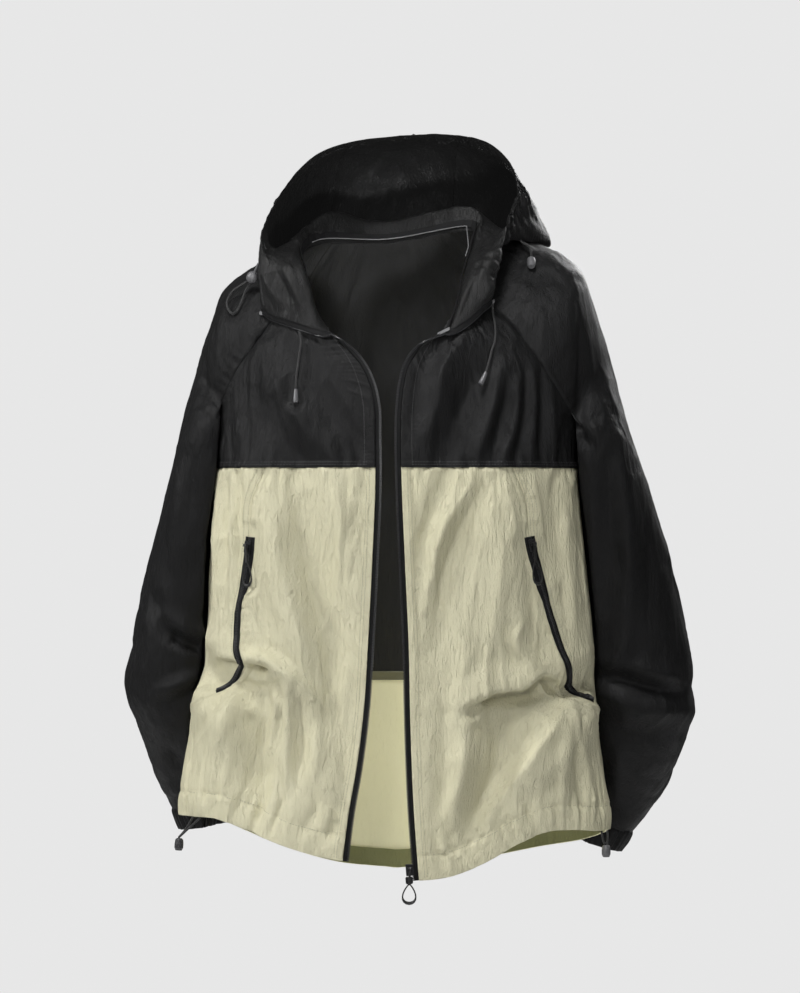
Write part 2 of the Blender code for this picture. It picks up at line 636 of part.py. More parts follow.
# ------------------------------------------------------------------ meshes
def material(name):
    """A plain material from the table, made once."""
    found = bpy.data.materials.get(name)
    if found:
        return found
    colour, roughness, metallic = MATERIALS[name]
    made = bpy.data.materials.new(name)
    made.use_nodes = True
    shader = made.node_tree.nodes["Principled BSDF"]
    shader.inputs["Base Color"].default_value = (*colour, 1.0)
    shader.inputs["Roughness"].default_value = roughness
    shader.inputs["Metallic"].default_value = metallic
    made.diffuse_color = (*colour, 1.0)
    return made


def finish(name, mesh, slot, sharp=50):
    """Object from a mesh, with its material and smooth shading."""
    mesh.materials.append(material(slot))
    mesh.shade_smooth()
    mesh.set_sharp_from_angle(angle=math.radians(sharp))
    thing = bpy.data.objects.new(name, mesh)
    bpy.context.scene.collection.objects.link(thing)
    return thing


def solid(name, points, normals, faces, slot, wall=WALL):
    """Closed wall from outer points: the inner points lie a wall's thickness behind."""
    count = len(points)
    inner = points - normals * wall
    border = {}
    for face in faces:
        for a, b in zip(face, face[1:] + face[:1]):
            if (b, a) in border:
                del border[(b, a)]
            else:
                border[(a, b)] = True
    quads = [tuple(face) for face in faces]
    quads += [tuple(reversed([i + count for i in face])) for face in faces]
    quads += [(b, a, a + count, b + count) for a, b in border]
    mesh = bpy.data.meshes.new(name)
    mesh.from_pydata([Vector(p) * MM for p in np.concatenate([points, inner])], [], quads)
    mesh.validate()
    built = bmesh.new()
    built.from_mesh(mesh)
    bmesh.ops.recalc_face_normals(built, faces=built.faces)
    built.to_mesh(mesh)
    built.free()
    return finish(name, mesh, slot)


def grid_faces(rows, columns, start=0):
    """Quads of a grid of points, numbered row by row."""
    return [[start + r * columns + c, start + r * columns + c + 1,
             start + (r + 1) * columns + c + 1, start + (r + 1) * columns + c]
            for r in range(rows - 1) for c in range(columns - 1)]


def sheet(name, grid, normals, slot, wall=WALL):
    """Closed wall from a grid of points."""
    rows, columns = grid.shape[:2]
    return solid(name, grid.reshape(-1, 3), normals.reshape(-1, 3),
                 grid_faces(rows, columns), slot, wall)


# ------------------------------------------------------------------ body pieces
ALL_EDGES = ("lower", "upper", "first", "last")


def make_front(side):
    """Yoke, main panel and pocket side panel of one front; gives their points, hem to neck."""
    turn = sign_of(side) * math.pi / 2
    yoke, normals = yoke_points(side, FRONT_COLUMNS, YOKE_ROWS)
    yoke = trim(yoke, ALL_EDGES)
    sheet("front_yoke_" + side, yoke, normals, "black_nylon")

    down = np.linspace(0, 1, LOWER_ROWS + 1)
    wedge_rows = round(LOWER_ROWS * WEDGE_SHARE)
    wedge_foot = YOKE_SEAM + (hem_height(turn) - YOKE_SEAM) * down[wedge_rows]

    def pocket_seam(z):
        row = (YOKE_SEAM - hem_height(turn)) / LOWER_ROWS
        below = np.clip((wedge_foot - z) / row * WEDGE_TAPER, 0, 1)
        return pocket_angle(side, z) * (1 - below) + turn * below

    def side_seam(z):
        return turn + 0 * z

    def front_edge(z):
        return edge_angle(side, z)

    phi, z = lower_grid(pocket_seam, front_edge, YOKE_SEAM, FRONT_COLUMNS, down)
    panel = trim(body_point(phi, z), ("upper", "first", "last"))
    panel_normals = body_normal(phi, z)
    sheet("front_panel_" + side, panel, panel_normals, "sage_nylon")
    reach = np.append(down[:wedge_rows + 1], down[wedge_rows] + WEDGE_TAIL / LOWER_ROWS)
    phi, z = lower_grid(side_seam, pocket_seam, YOKE_SEAM, POCKET_COLUMNS, reach)
    wedge = trim(body_point(phi, z), ALL_EDGES)
    sheet("front_side_" + side, wedge, body_normal(phi, z), "sage_nylon")
    make_pocket_zip(side, panel, wedge[1:], panel_normals)
    return np.concatenate([panel[:-1], yoke])


def make_back():
    """Back in two pieces, dark above and light below, and the facing inside its hem."""
    top, top_normals = back_top_points(BACK_COLUMNS, YOKE_ROWS)
    levels = np.linspace(BACK_SEAM, YOKE_SEAM, 10)[:-1]
    share = np.linspace(math.pi / 2, 1.5 * math.pi, BACK_COLUMNS + 1)
    turn = np.where(share > math.pi, share - 2 * math.pi, share)
    phi, z = np.meshgrid(turn, levels)
    points = trim(np.concatenate([body_point(phi, z), top]), ALL_EDGES)
    normals = np.concatenate([body_normal(phi, z), top_normals])
    sheet("back_upper", points, normals, "black_nylon")

    down = np.linspace(0, 1, 9)[:, None]
    z = hem_height(turn) + (BACK_SEAM - hem_height(turn)) * down
    phi = turn + 0 * z
    lower = trim(body_point(phi, z), ("upper", "first", "last"))
    normals = body_normal(phi, z)
    sheet("back_lower", lower, normals, "sage_nylon")

    rise = np.array((0, HEM_FACING / (BACK_SEAM - HEM["left"][-1]))) + HEM_TURN
    inside = lower[0] + (lower[-1] - lower[0]) * rise[:, None, None]
    inside = inside - normals[:2] * (WALL + SEAM_GAP)
    sheet("hem_facing_back", inside[:, 1:-1], normals[:2, 1:-1], "sage_nylon", wall=1.0)


def make_pocket_zip(side, panel, wedge, normals):
    """Zip tape on the pocket seam, with its slider and pull."""
    rows = wedge.shape[0]
    middle = (panel[-rows:, 0] + wedge[:, -1]) / 2
    reach_in = unit(panel[-rows:, 1] - panel[-rows:, 0])
    reach_out = unit(wedge[:, -2] - wedge[:, -1])
    up = normals[-rows:, 0]
    levels = np.linspace(POCKET_ZIP_END[side], POCKET_ZIP_TOP[side], POCKET_ZIP_ROWS)
    levels = np.union1d(levels, middle[(middle[:, 2] > levels[0]) & (middle[:, 2] < levels[-1]), 2])

    def at(values):
        return np.stack([np.interp(levels, middle[:, 2], values[:, k]) for k in range(3)], -1)

    width = np.interp(levels, (levels[0], levels[-1] - 60, levels[-1]), POCKET_ZIP_WIDTH) / 2
    centre = at(middle)
    lift = unit(at(up))
    inner = centre + at(reach_in) * width[:, None]
    outer = centre + at(reach_out) * width[:, None]
    grid = np.stack([outer, centre, inner], 1) + lift[:, None] * (ON_TOP + POCKET_TAPE)
    sheet("pocket_zip_" + side, grid, np.repeat(lift[:, None], 3, 1), "zip_tape", wall=POCKET_TAPE)
    place = len(levels) - 2
    along = unit(centre[-1] - centre[-3])
    make_slider("pocket_slider_" + side, "pocket_pull_" + side,
                centre[-1] - along * SLIDER_LENGTH * SLIDER_DOWN, along, lift[place],
                ON_TOP + POCKET_TAPE + SLIDER_GAP, POCKET_LOOP, PULL_LEAN[side])


def make_sleeve(side):
    """Raglan sleeve and its gathered cuff."""
    rows = SLEEVE[side]
    low = rows["z"][-2]
    cap_stations = [5.0 * (1 - row) / (1 - UNDERARM_PART)
                    for row in reversed(YOKE_ROWS) if row >= UNDERARM_PART]
    heights = np.concatenate([[rows["z"][0]], np.linspace(rows["z"][0], low, 18)[1:]])
    outer, inner = sleeve_surface(side, cap_stations, heights, SLEEVE_OUTER, SLEEVE_INNER)
    build_sleeve(side, outer, inner, cap_stations)
    make_cuff(side, low)


def make_cuff(side, top):
    """Gathered cuff below the end of the sleeve."""
    angle = np.linspace(0, 2 * math.pi, CUFF_COLUMNS + 1)[:-1]
    rings = []
    for z in (top - 2 * SEAM_GAP, top - CUFF_LENGTH * 0.5, top - CUFF_LENGTH):
        ring = sleeve_ring(side, z, angle)
        centre = ring.mean(0)
        out = unit(ring - centre)
        rings.append(ring + out * (CUFF_WAVE * np.cos(CUFF_GATHERS * angle))[:, None])
    grid = np.stack(rings)
    tube_wall("cuff_" + side, grid, "black_nylon")


def tube_wall(name, rings, slot, wall=WALL):
    """Closed wall from rings that run round a hollow."""
    rows, columns = rings.shape[:2]
    faces = [[r * columns + c, r * columns + (c + 1) % columns,
              (r + 1) * columns + (c + 1) % columns, (r + 1) * columns + c]
             for r in range(rows - 1) for c in range(columns)]
    points = rings.reshape(-1, 3)
    normals = vertex_normals(points, faces)
    centre = rings[0].mean(0)
    if ((points[0] - centre) * normals[0]).sum() < 0:
        normals = -normals
    normals[:, 2] = 0
    solid(name, points, unit(normals), faces, slot, wall)


def build_sleeve(side, outer, inner, cap_stations):
    """Join the outer and inner grids of a sleeve into one wall."""
    cap_rows = len(cap_stations)
    rows, columns = outer.shape[:2]
    outer = outer.copy()
    outer[0] += unit(outer[1] - outer[0]) * SEAM_GAP / 2
    for column, inward in ((0, 1), (-1, -2)):
        step = unit(outer[:cap_rows, inward] - outer[:cap_rows, column])
        outer[:cap_rows, column] += step * SEAM_GAP / 2
    for corner, name in ((0, "front"), (-1, "back")):
        outer[cap_rows - 1, corner] += body_normal(*armhole(side, 5.0, name)) * UNDERARM_GAP
    points = outer.reshape(-1, 3)
    faces = grid_faces(rows, columns)
    base = len(points)
    middle = inner[:, 1:-1].copy()
    share = np.linspace(1, 0, inner.shape[1])[1:-1]
    seam_normals = body_normal(*underarm(side, share))
    middle[0] += seam_normals * UNDERARM_GAP
    points = np.concatenate([points, middle.reshape(-1, 3)])
    width = middle.shape[1]

    def inner_index(row, column):
        if column == 0:
            return (row + cap_rows - 1) * columns + columns - 1
        if column == width + 1:
            return (row + cap_rows - 1) * columns
        return base + row * width + column - 1

    for r in range(inner.shape[0] - 1):
        for c in range(width + 1):
            faces.append([inner_index(r, c), inner_index(r, c + 1),
                          inner_index(r + 1, c + 1), inner_index(r + 1, c)])
    normals = vertex_normals(points, faces)
    centre = outer[-1].mean(0)
    facing = ((points[columns * (rows - 1)] - centre) * normals[columns * (rows - 1)]).sum()
    if facing < 0:
        normals = -normals
    for row, station in enumerate(cap_stations[:-1]):
        normals[row * columns] = body_normal(*armhole(side, station, "front"))
        normals[(row + 1) * columns - 1] = body_normal(*armhole(side, station, "back"))
    normals[base:base + width] = -seam_normals
    for foot in (range((rows - 1) * columns, rows * columns), range(len(points) - width, len(points))):
        normals[foot, 2] = 0
        normals[foot] = unit(normals[foot])
    solid("sleeve_" + side, points, normals, faces, "black_nylon")


def vertex_normals(points, faces):
    """Average normal of the faces round each point."""
    normals = np.zeros_like(points)
    for face in faces:
        a, b, c, d = (points[i] for i in face)
        normal = np.cross(c - a, d - b)
        for i in face:
            normals[i] += normal
    return unit(normals)


def make_hood():
    """Hood in three panels that grow out of the neck seam."""
    spans = (("hood_left", -1.0, HOOD_SEAM_LEFT, 12),
             ("hood_middle", HOOD_SEAM_LEFT, HOOD_SEAM_RIGHT, 5),
             ("hood_right", HOOD_SEAM_RIGHT, 1.0, 13))
    for name, start, end, columns in spans:
        around, up = np.meshgrid(np.linspace(start, end, columns + 1), HOOD_ROWS)
        grid = hood_point(around, up)
        normals = hood_normal(around, up)
        grid[0] += unit(grid[1] - grid[0]) * HOOD_LIFT
        grid = trim(grid, ("first", "last"))
        sheet(name, grid, normals, "black_nylon")


# ------------------------------------------------------------------ zips
def make_front_zip(side, body):
    """Zip tape along a front edge, from the hem up the body and the collar."""
    around = np.array((1.0, 0.955)) * sign_of(side)
    collar = hood_point(around[:, None], np.array(HOOD_ROWS)[None, 1:])
    edge = np.concatenate([body[:, -1], collar[0]])
    near = np.concatenate([body[:, -2], collar[1]])
    outward = -inward(edge, near)
    outward[len(body) - 1] = (0.0, -1.0, 0.0)    # the tape turns over where the collar folds
    outward = smooth_directions(outward)
    normals = -sign_of(side) * unit(np.cross(outward, along_of(edge)))
    middle = -normals * (WALL / 2 - ZIP_THICKNESS / 2)
    gap = np.full(len(edge), ZIP_GAP)
    gap[len(body) - 1:len(body) + 1] *= 2
    start = edge + middle + outward * gap[:, None]
    grid = np.stack([start, start + outward * ZIP_WIDTH], 1)
    both = np.repeat(normals[:, None], 2, 1)
    sheet("front_zip_" + side, grid, both, "zip_tape", wall=ZIP_THICKNESS)
    return grid, both


def smooth_directions(directions):
    """Even out directions along a line."""
    padded = np.concatenate([directions[:1], directions, directions[-1:]])
    return unit(padded[:-2] + 2 * padded[1:-1] + padded[2:])


# ------------------------------------------------------------------ small hard pieces
def frame_matrix(origin, along, outward):
    """Matrix whose Z runs up the zip, -Y out of the cloth and X across it."""
    z = Vector(along).normalized()
    y = -(Vector(outward) - z * Vector(outward).dot(z)).normalized()
    x = y.cross(z)
    matrix = Matrix.Identity(4)
    for k, axis in enumerate((x, y, z)):
        for i in range(3):
            matrix[i][k] = axis[i]
    for i in range(3):
        matrix[i][3] = origin[i] * MM
    return matrix


def box_part(size, centre):
    """Box as a bmesh, millimetres."""
    made = bmesh.new()
    bmesh.ops.create_cube(made, size=1.0)
    bmesh.ops.scale(made, vec=Vector(size), verts=made.verts)
    bmesh.ops.translate(made, vec=Vector(centre), verts=made.verts)
    return made


def rod_part(radius, length, centre, sides=12):
    """Rod along X as a bmesh, millimetres."""
    made = bmesh.new()
    bmesh.ops.create_cone(made, cap_ends=True, segments=sides, radius1=radius, radius2=radius,
                          depth=length)
    bmesh.ops.rotate(made, cent=(0, 0, 0), matrix=Matrix.Rotation(math.pi / 2, 3, "Y"),
                     verts=made.verts)
    bmesh.ops.translate(made, vec=Vector(centre), verts=made.verts)
    return made


def loop_part(shape, top):
    """Closed cord loop below a tab: thin strands and a thick moulded arc at the bottom."""
    made = bmesh.new()
    turns = 20
    sides = 8
    rings = []
    for i in range(turns):
        turn = 2 * math.pi * i / turns
        low = (1 - math.cos(turn)) / 2
        pinch = 0.25 + 0.75 * low ** 0.7
        centre = Vector((shape["width"] / 2 * math.sin(turn) * pinch, 0, top - shape["length"] * low))
        ahead = turn + 0.02
        low_ahead = (1 - math.cos(ahead)) / 2
        pinch_ahead = 0.25 + 0.75 * low_ahead ** 0.7
        step = Vector((shape["width"] / 2 * math.sin(ahead) * pinch_ahead, 0,
                       top - shape["length"] * low_ahead)) - centre
        across = Vector((0, 1, 0)).cross(step.normalized())
        radius = shape["strand"] + (shape["arc"] - shape["strand"]) * max(0, low - 0.7) / 0.3
        rings.append([made.verts.new(centre + across * radius * math.cos(a)
                                     + Vector((0, 1, 0)) * radius * math.sin(a))
                      for a in (2 * math.pi * k / sides for k in range(sides))])
    for i in range(turns):
        a, b = rings[i], rings[(i + 1) % turns]
        for k in range(sides):
            made.faces.new((a[k], a[(k + 1) % sides], b[(k + 1) % sides], b[k]))
    bmesh.ops.recalc_face_normals(made, faces=made.faces)
    return made


def object_of(name, part, slot, matrix):
    """Object from a bmesh in millimetres, at a place given by a matrix."""
    bmesh.ops.scale(part, vec=(MM, MM, MM), verts=part.verts)
    mesh = bpy.data.meshes.new(name)
    part.to_mesh(mesh)
    part.free()
    thing = finish(name, mesh, slot, sharp=35)
    thing.matrix_world = matrix
    return thing


def combine(name, parts, slot, matrix, cuts=()):
    """One solid from overlapping parts, less the cuts."""
    base = object_of(name, parts[0], slot, matrix)
    steps = [("UNION", part) for part in parts[1:]] + [("DIFFERENCE", part) for part in cuts]
    for count, (operation, part) in enumerate(steps):
        tool = object_of("{}_tool_{}".format(name, count), part, slot, matrix)
        tool.hide_render = True
        tool.display_type = "WIRE"
        modifier = base.modifiers.new(operation.title(), "BOOLEAN")
        modifier.operation = operation
        modifier.solver = "EXACT"
        modifier.object = tool
    return base


def make_slider(name, pull_name, place, along, outward, lift, loop, lean):
    """Slider plate with a bar between two ears, and the pull that hangs from the bar."""
    matrix = frame_matrix(place + outward * lift, along, outward)
    bar_y = -SLIDER_PLATE - BAR_HEIGHT
    ear_x = EAR_GAP / 2 + EAR_THICKNESS / 2
    plate = box_part((SLIDER_WIDTH, SLIDER_PLATE, SLIDER_LENGTH), (0, -SLIDER_PLATE / 2, 0))
    bmesh.ops.bevel(plate, geom=plate.edges[:], offset=0.5, segments=1, affect="EDGES")
    ears = [box_part((EAR_THICKNESS, BAR_HEIGHT + 2.0, 3.0), (sign * ear_x, bar_y + 1.0 + 0.35, 1.5))
            for sign in (-1, 1)]
    bar = rod_part(BAR_RADIUS, EAR_GAP + EAR_THICKNESS * 1.4, (0, bar_y, 1.5))
    combine(name, [plate] + ears + [bar], "dark_metal", matrix)
    eye = rod_part(EYE_RADIUS, EYE_WIDTH, (0, 0, 0), sides=16)
    hole = rod_part(EYE_HOLE, EYE_WIDTH * 2, (0, 0, 0), sides=16)
    start = EYE_HOLE + 0.4
    tab = box_part((EYE_WIDTH, 1.8, loop["tab"] - start), (0, 0, -(loop["tab"] + start) / 2))
    ring = loop_part(loop, -loop["tab"] + 1.2)
    for part in (tab, ring):
        bmesh.ops.rotate(part, cent=(0, 0, 0), matrix=Matrix.Rotation(lean, 3, "Y"), verts=part.verts)
    pivot = matrix @ Matrix.Translation(Vector((0, bar_y, 1.5)) * MM)
    combine(pull_name, [eye, tab, ring], "grey_plastic", pivot, cuts=[hole])
    return pivot


def make_main_slider(edge, normals):
    """Slider and retaining box at the foot of the right front zip."""
    along = unit(edge[2] - edge[0])
    outward = unit(normals[1])
    across = np.cross(outward, along)
    place = edge[0] + across * MAIN_SLIDER_ASIDE + along * MAIN_SLIDER_RISE
    make_slider("main_slider", "main_pull", place, along, outward, SEAM_GAP, MAIN_LOOP,
                PULL_LEAN["main"])
    foot = edge[0] + across * (ZIP_BOX[0] / 2 + SEAM_GAP) + along * ZIP_BOX_RISE
    matrix = frame_matrix(foot, along, outward)
    box = box_part(ZIP_BOX, (0, 0, 0))
    bmesh.ops.bevel(box, geom=box.edges[:], offset=0.8, segments=2, affect="EDGES")
    object_of("zip_box", box, "dark_metal", matrix)


def make_neck_tape():
    """Binding over the neck seam on the inside of the collar."""
    around = np.linspace(NECK_TAPE["from"], NECK_TAPE["to"], 30)[None, :]
    up = np.array((NECK_TAPE["low"], NECK_TAPE["high"]))[:, None]
    normals = hood_normal(around, up + 0 * around)
    grid = hood_point(around, up) - normals * (WALL + NECK_TAPE["lift"])
    sheet("neck_tape", grid, normals, "cord_black", wall=0.8)


def turned(profile, sides=16):
    """Solid of revolution about Z from (radius, z) pairs, the first and last on the axis."""
    made = bmesh.new()
    rings = []
    for radius, z in profile:
        if radius < 1e-6:
            rings.append([made.verts.new((0, 0, z))])
        else:
            rings.append([made.verts.new((radius * math.cos(a), radius * math.sin(a), z))
                          for a in (2 * math.pi * k / sides for k in range(sides))])
    for a, b in zip(rings, rings[1:]):
        for k in range(sides):
            n = (k + 1) % sides
            if len(a) == 1:
                made.faces.new((a[0], b[k], b[n]))
            elif len(b) == 1:
                made.faces.new((a[k], a[n], b[0]))
            else:
                made.faces.new((a[k], a[n], b[n], b[k]))
    bmesh.ops.recalc_face_normals(made, faces=made.faces)
    return made


def turned_piece(name, profile, slot, top, bottom):
    """Turned piece whose axis runs from one point down to another."""
    axis = Vector(top) - Vector(bottom)
    matrix = Matrix.Translation(Vector(top) * MM) @ axis.to_track_quat("Z", "Y").to_matrix().to_4x4()
    object_of(name, turned(profile), slot, matrix)


def make_cord(name, route):
    """Cord along a smooth curve through its route."""
    route = np.array(route, float)
    length = np.concatenate([[0], np.cumsum(np.linalg.norm(np.diff(route, axis=0), axis=1))])
    count = max(CORD_POINTS, int(length[-1] / (2.3 * CORD_DIAMETER)) + 1)
    points = spline(length, route, np.linspace(0, length[-1], count))
    curve = bpy.data.curves.new(name, "CURVE")
    curve.dimensions = "3D"
    curve.bevel_depth = CORD_DIAMETER / 2 * MM
    curve.bevel_resolution = 2
    curve.use_fill_caps = True
    line = curve.splines.new("POLY")
    line.points.add(count - 1)
    for slot, point in zip(line.points, points):
        slot.co = (*(point * MM), 1.0)
    curve.materials.append(material("cord_black"))
    thing = bpy.data.objects.new(name, curve)
    bpy.context.scene.collection.objects.link(thing)
    return points


def clear_scene():
    """Start from nothing."""
    for thing in list(bpy.data.objects):
        bpy.data.objects.remove(thing, do_unlink=True)


def main():
    """Build every piece."""
    clear_scene()
    for side in ("left", "right"):
        tape, tape_normals = make_front_zip(side, make_front(side))
        if side == "right":
            make_main_slider(tape[:, 1], tape_normals[:, 1])
        make_sleeve(side)
    make_back()
    make_hood()
    make_neck_tape()
    for name, route in CORD_ROUTES.items():
        make_cord(name, route)
    for name, (profile, slot, top, bottom) in TURNED.items():
        turned_piece(name, profile, slot, top, bottom)


main()
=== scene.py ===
# %% [markdown]
# # A hooded windbreaker jacket
# The jacket stands open at the front and filled out as if worn, but empty. Its cloth is a
# light crinkled nylon: black on the yoke, the sleeves and the hood, pale sage green below.
# The solids of the frame give each piece its true place. Here each piece of cloth becomes a
# thin shell on the same surface, with its folds, seams, gathers and finish.
# All tables are in millimetres. +Z is up, -Y is the front and +X is on the right of the
# front view. Meshes are written in metres.

# %% Tools and the frame
import itertools
import math

import bmesh
import bpy
import numpy as np
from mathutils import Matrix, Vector
from mathutils.bvhtree import BVHTree


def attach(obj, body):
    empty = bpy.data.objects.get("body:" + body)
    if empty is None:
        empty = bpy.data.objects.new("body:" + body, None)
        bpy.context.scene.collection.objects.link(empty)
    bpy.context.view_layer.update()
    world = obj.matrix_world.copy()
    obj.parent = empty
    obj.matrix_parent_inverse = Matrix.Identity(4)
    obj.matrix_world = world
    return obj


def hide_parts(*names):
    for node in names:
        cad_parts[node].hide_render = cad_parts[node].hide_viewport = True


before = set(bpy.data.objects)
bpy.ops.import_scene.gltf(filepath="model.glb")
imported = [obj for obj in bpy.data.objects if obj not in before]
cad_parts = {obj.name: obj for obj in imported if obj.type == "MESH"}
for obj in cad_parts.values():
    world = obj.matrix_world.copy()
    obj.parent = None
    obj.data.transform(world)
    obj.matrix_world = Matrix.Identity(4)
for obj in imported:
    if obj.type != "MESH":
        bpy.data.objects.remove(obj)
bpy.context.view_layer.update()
bpy.ops.object.select_all(action="DESELECT")
MM = 0.001

# %% [markdown]
# ## Camera, stage and light
# A jacket on an unseen figure is usually shot from four metres with a long lens, so that its
# proportions stay true. The floor is a plain pale disc below it. A dome that only the camera
# sees gives an even pale ground, so that the light on the cloth can be chosen freely: soft
# lamps from the left, from above and from the front draw the folds, a weak one fills in from
# the right, one behind gives the back its light, and a narrow spot reaches into the hood.

# %% Camera
CAMERA_AT = (0.00456, -4.0, -0.25821)
CAMERA_LENS = 157.9     # focal length in mm
SENSOR_WIDTH = 36.0
camera_data = bpy.data.cameras.new("camera")
camera_data.lens = CAMERA_LENS
camera_data.sensor_width = SENSOR_WIDTH
camera_data.sensor_fit = "HORIZONTAL"
camera = bpy.data.objects.new("camera", camera_data)
camera.location = CAMERA_AT
camera.rotation_euler = (math.radians(90), 0, 0)
bpy.context.collection.objects.link(camera)
bpy.context.scene.camera = camera
print("camera looks along +Y from", CAMERA_AT)

# %% Stage
GROUND_TONE = 0.80      # brightness of the dome
DOME_RADIUS = 9.0
FLOOR_RADIUS = 1.9
FLOOR_HEIGHT = -1.25
FLOOR_TONE = 0.78
SURROUND = 0.09         # strength of the even light from all sides


def plain_material(name, colour, glow=0.0):
    """A plain matte or glowing surface for the stage."""
    material = bpy.data.materials.new(name)
    material.use_nodes = True
    shader = material.node_tree.nodes["Principled BSDF"]
    shader.inputs["Base Color"].default_value = (*colour, 1)
    shader.inputs["Roughness"].default_value = 0.9
    shader.inputs["Specular IOR Level"].default_value = 0.0
    shader.inputs["Emission Color"].default_value = (1, 1, 1, 1)
    shader.inputs["Emission Strength"].default_value = glow
    return material


bpy.ops.mesh.primitive_uv_sphere_add(segments=48, ring_count=24, radius=DOME_RADIUS)
dome = bpy.context.object
dome.name = "studio_dome"
bpy.ops.object.mode_set(mode="EDIT")
bpy.ops.mesh.select_all(action="SELECT")
bpy.ops.mesh.flip_normals()
bpy.ops.object.mode_set(mode="OBJECT")
dome.data.materials.append(plain_material("studio_ground", (0, 0, 0), glow=GROUND_TONE))
for ray in ("diffuse", "glossy", "transmission", "shadow"):
    setattr(dome, "visible_" + ray, False)

bpy.ops.mesh.primitive_circle_add(vertices=64, radius=FLOOR_RADIUS, fill_type="NGON",
                                  location=(0, 0, FLOOR_HEIGHT))
floor = bpy.context.object
floor.name = "studio_floor"
floor.data.materials.append(plain_material("studio_floor", (FLOOR_TONE,) * 3))
bpy.ops.object.select_all(action="DESELECT")

world = bpy.data.worlds.new("studio")
world.use_nodes = True
world.node_tree.nodes["Background"].inputs[0].default_value = (1, 1, 1, 1)
world.node_tree.nodes["Background"].inputs[1].default_value = SURROUND
bpy.context.scene.world = world

# %% Lamps
MIDDLE = (0, 0, -0.3)      # of the jacket, in metres
LAMPS = (      # name, place, aim, power in watts, and the size of its square
    ("key_lamp", (-3.6, -1.3, 1.3), MIDDLE, 84, 0.8),
    ("top_lamp", (-0.5, -1.9, 3.3), MIDDLE, 110, 1.0),
    ("front_lamp", (-0.7, -3.8, 0.5), MIDDLE, 36, 0.9),
    ("fill_lamp", (2.4, -2.6, 0.9), MIDDLE, 6, 1.4),
    ("hood_lamp", (0.35, -2.3, -0.75), (-0.03, 0.05, 0.29), 400, None),
    ("back_lamp", (1.6, 3.0, 1.4), MIDDLE, 70, 1.6),
)
SPOT_ANGLE = 14.0          # the hood lamp is a narrow spot that reaches into the hood
SPOT_RADIUS = 0.25

for name, place, aim, power, size in LAMPS:
    data = bpy.data.lights.new(name, "AREA" if size else "SPOT")
    data.energy = power
    if size:
        data.shape, data.size = "SQUARE", size
    else:
        data.spot_size, data.spot_blend = math.radians(SPOT_ANGLE), 1.0
        data.shadow_soft_size = SPOT_RADIUS
    lamp = bpy.data.objects.new(name, data)
    lamp.location = place
    lamp.rotation_euler = (Vector(aim) - Vector(place)).to_track_quat("-Z", "Y").to_euler()
    bpy.context.collection.objects.link(lamp)
bpy.context.scene.view_settings.view_transform = "Standard"
print("stage and", len(LAMPS), "lamps are set")


# %% [markdown]
# ## The sizes of the jacket
# A cutter works from a few measures at named heights. These tables say the same thing for
# the filled-out garment: body sections, front edges, hem, armholes, arm rings and hood hoops.
# They are the sizes that the solids were made from, so the cloth lies on them.

# %% Tables of the body, the arms and the hood

# The body as horizontal sections: half widths to each side, the depth at which the
# section is widest, and the y of its front and back.
BODY = {
    "z":      (-720, -620, -560, -500, -466, -420, -350, -226, -165, -110, -79, -57, -25, 0, 40),
    "left":   (252, 246, 240, 229, 221, 214, 212, 204, 204, 200, 192, 182, 162, 150, 138),
    "right":  (244, 240, 234, 227, 224, 223, 217, 206, 206, 203, 195, 186, 164, 152, 142),
    "side_y": (-35, -35, -34, -32, -30, -28, -24, -18, -12, -4, 0, 3, 8, 10, 14),
    "front":  (-146, -145, -144, -144, -144, -143, -143, -141, -134, -122, -108, -92, -62, -44,
               -22),
    "back":   (150, 150, 149, 147, 146, 145, 145, 146, 143, 138, 134, 130, 121, 110, 86),
}
FRONT_FULLNESS = 2.4   # superellipse exponent of the chest
BACK_FULLNESS = 2.0    # and of the back
GIRTH_RADIUS = 180.0   # turns an angle round the body into a length of cloth

# The two front edges, where the zip is sewn, from hem to neck seam.
FRONT_EDGE = {
    "z":     (-700, -662, -607, -555, -490, -427, -330, -226, -193, -158, -131, -115, -101, -88,
              -78),
    "left":  (-64, -59, -52, -43, -35, -31, -26, -22.5, -23, -24, -30.5, -38, -49, -62, -72),
    "right": (27, 24, 20, 17.5, 15.5, 14.3, 10, 6, 5.5, 6.6, 10, 14.5, 23, 36, 55),
}
# The seam that carries the hand pocket, from the yoke down and out to the side seam, in
# degrees from centre front.
POCKET_SEAM = {
    "z":     (-226, -265, -305, -345, -385, -425, -450, -462, -474, -501),
    "left":  (41.2, 47, 47.2, 48.8, 52.3, 51.6, 48.2, 56.5, 62, 87),
    "right": (34.9, 39.8, 40.3, 43.4, 46.8, 51.3, 54.2, 55.6, 57, 87),
}
# Height of the hem round the body, by the angle from centre front.
HEM = {
    "angle": (0, 10, 20, 30, 40, 50, 65, 90, 120, 135, 150, 165, 180),
    "left":  (-662, -659, -650, -638, -625, -616, -615, -617, -627, -648, -672, -690, -697),
    "right": (-681, -677, -661, -641, -629, -628, -631, -634, -656, -666, -679, -692, -697),
}
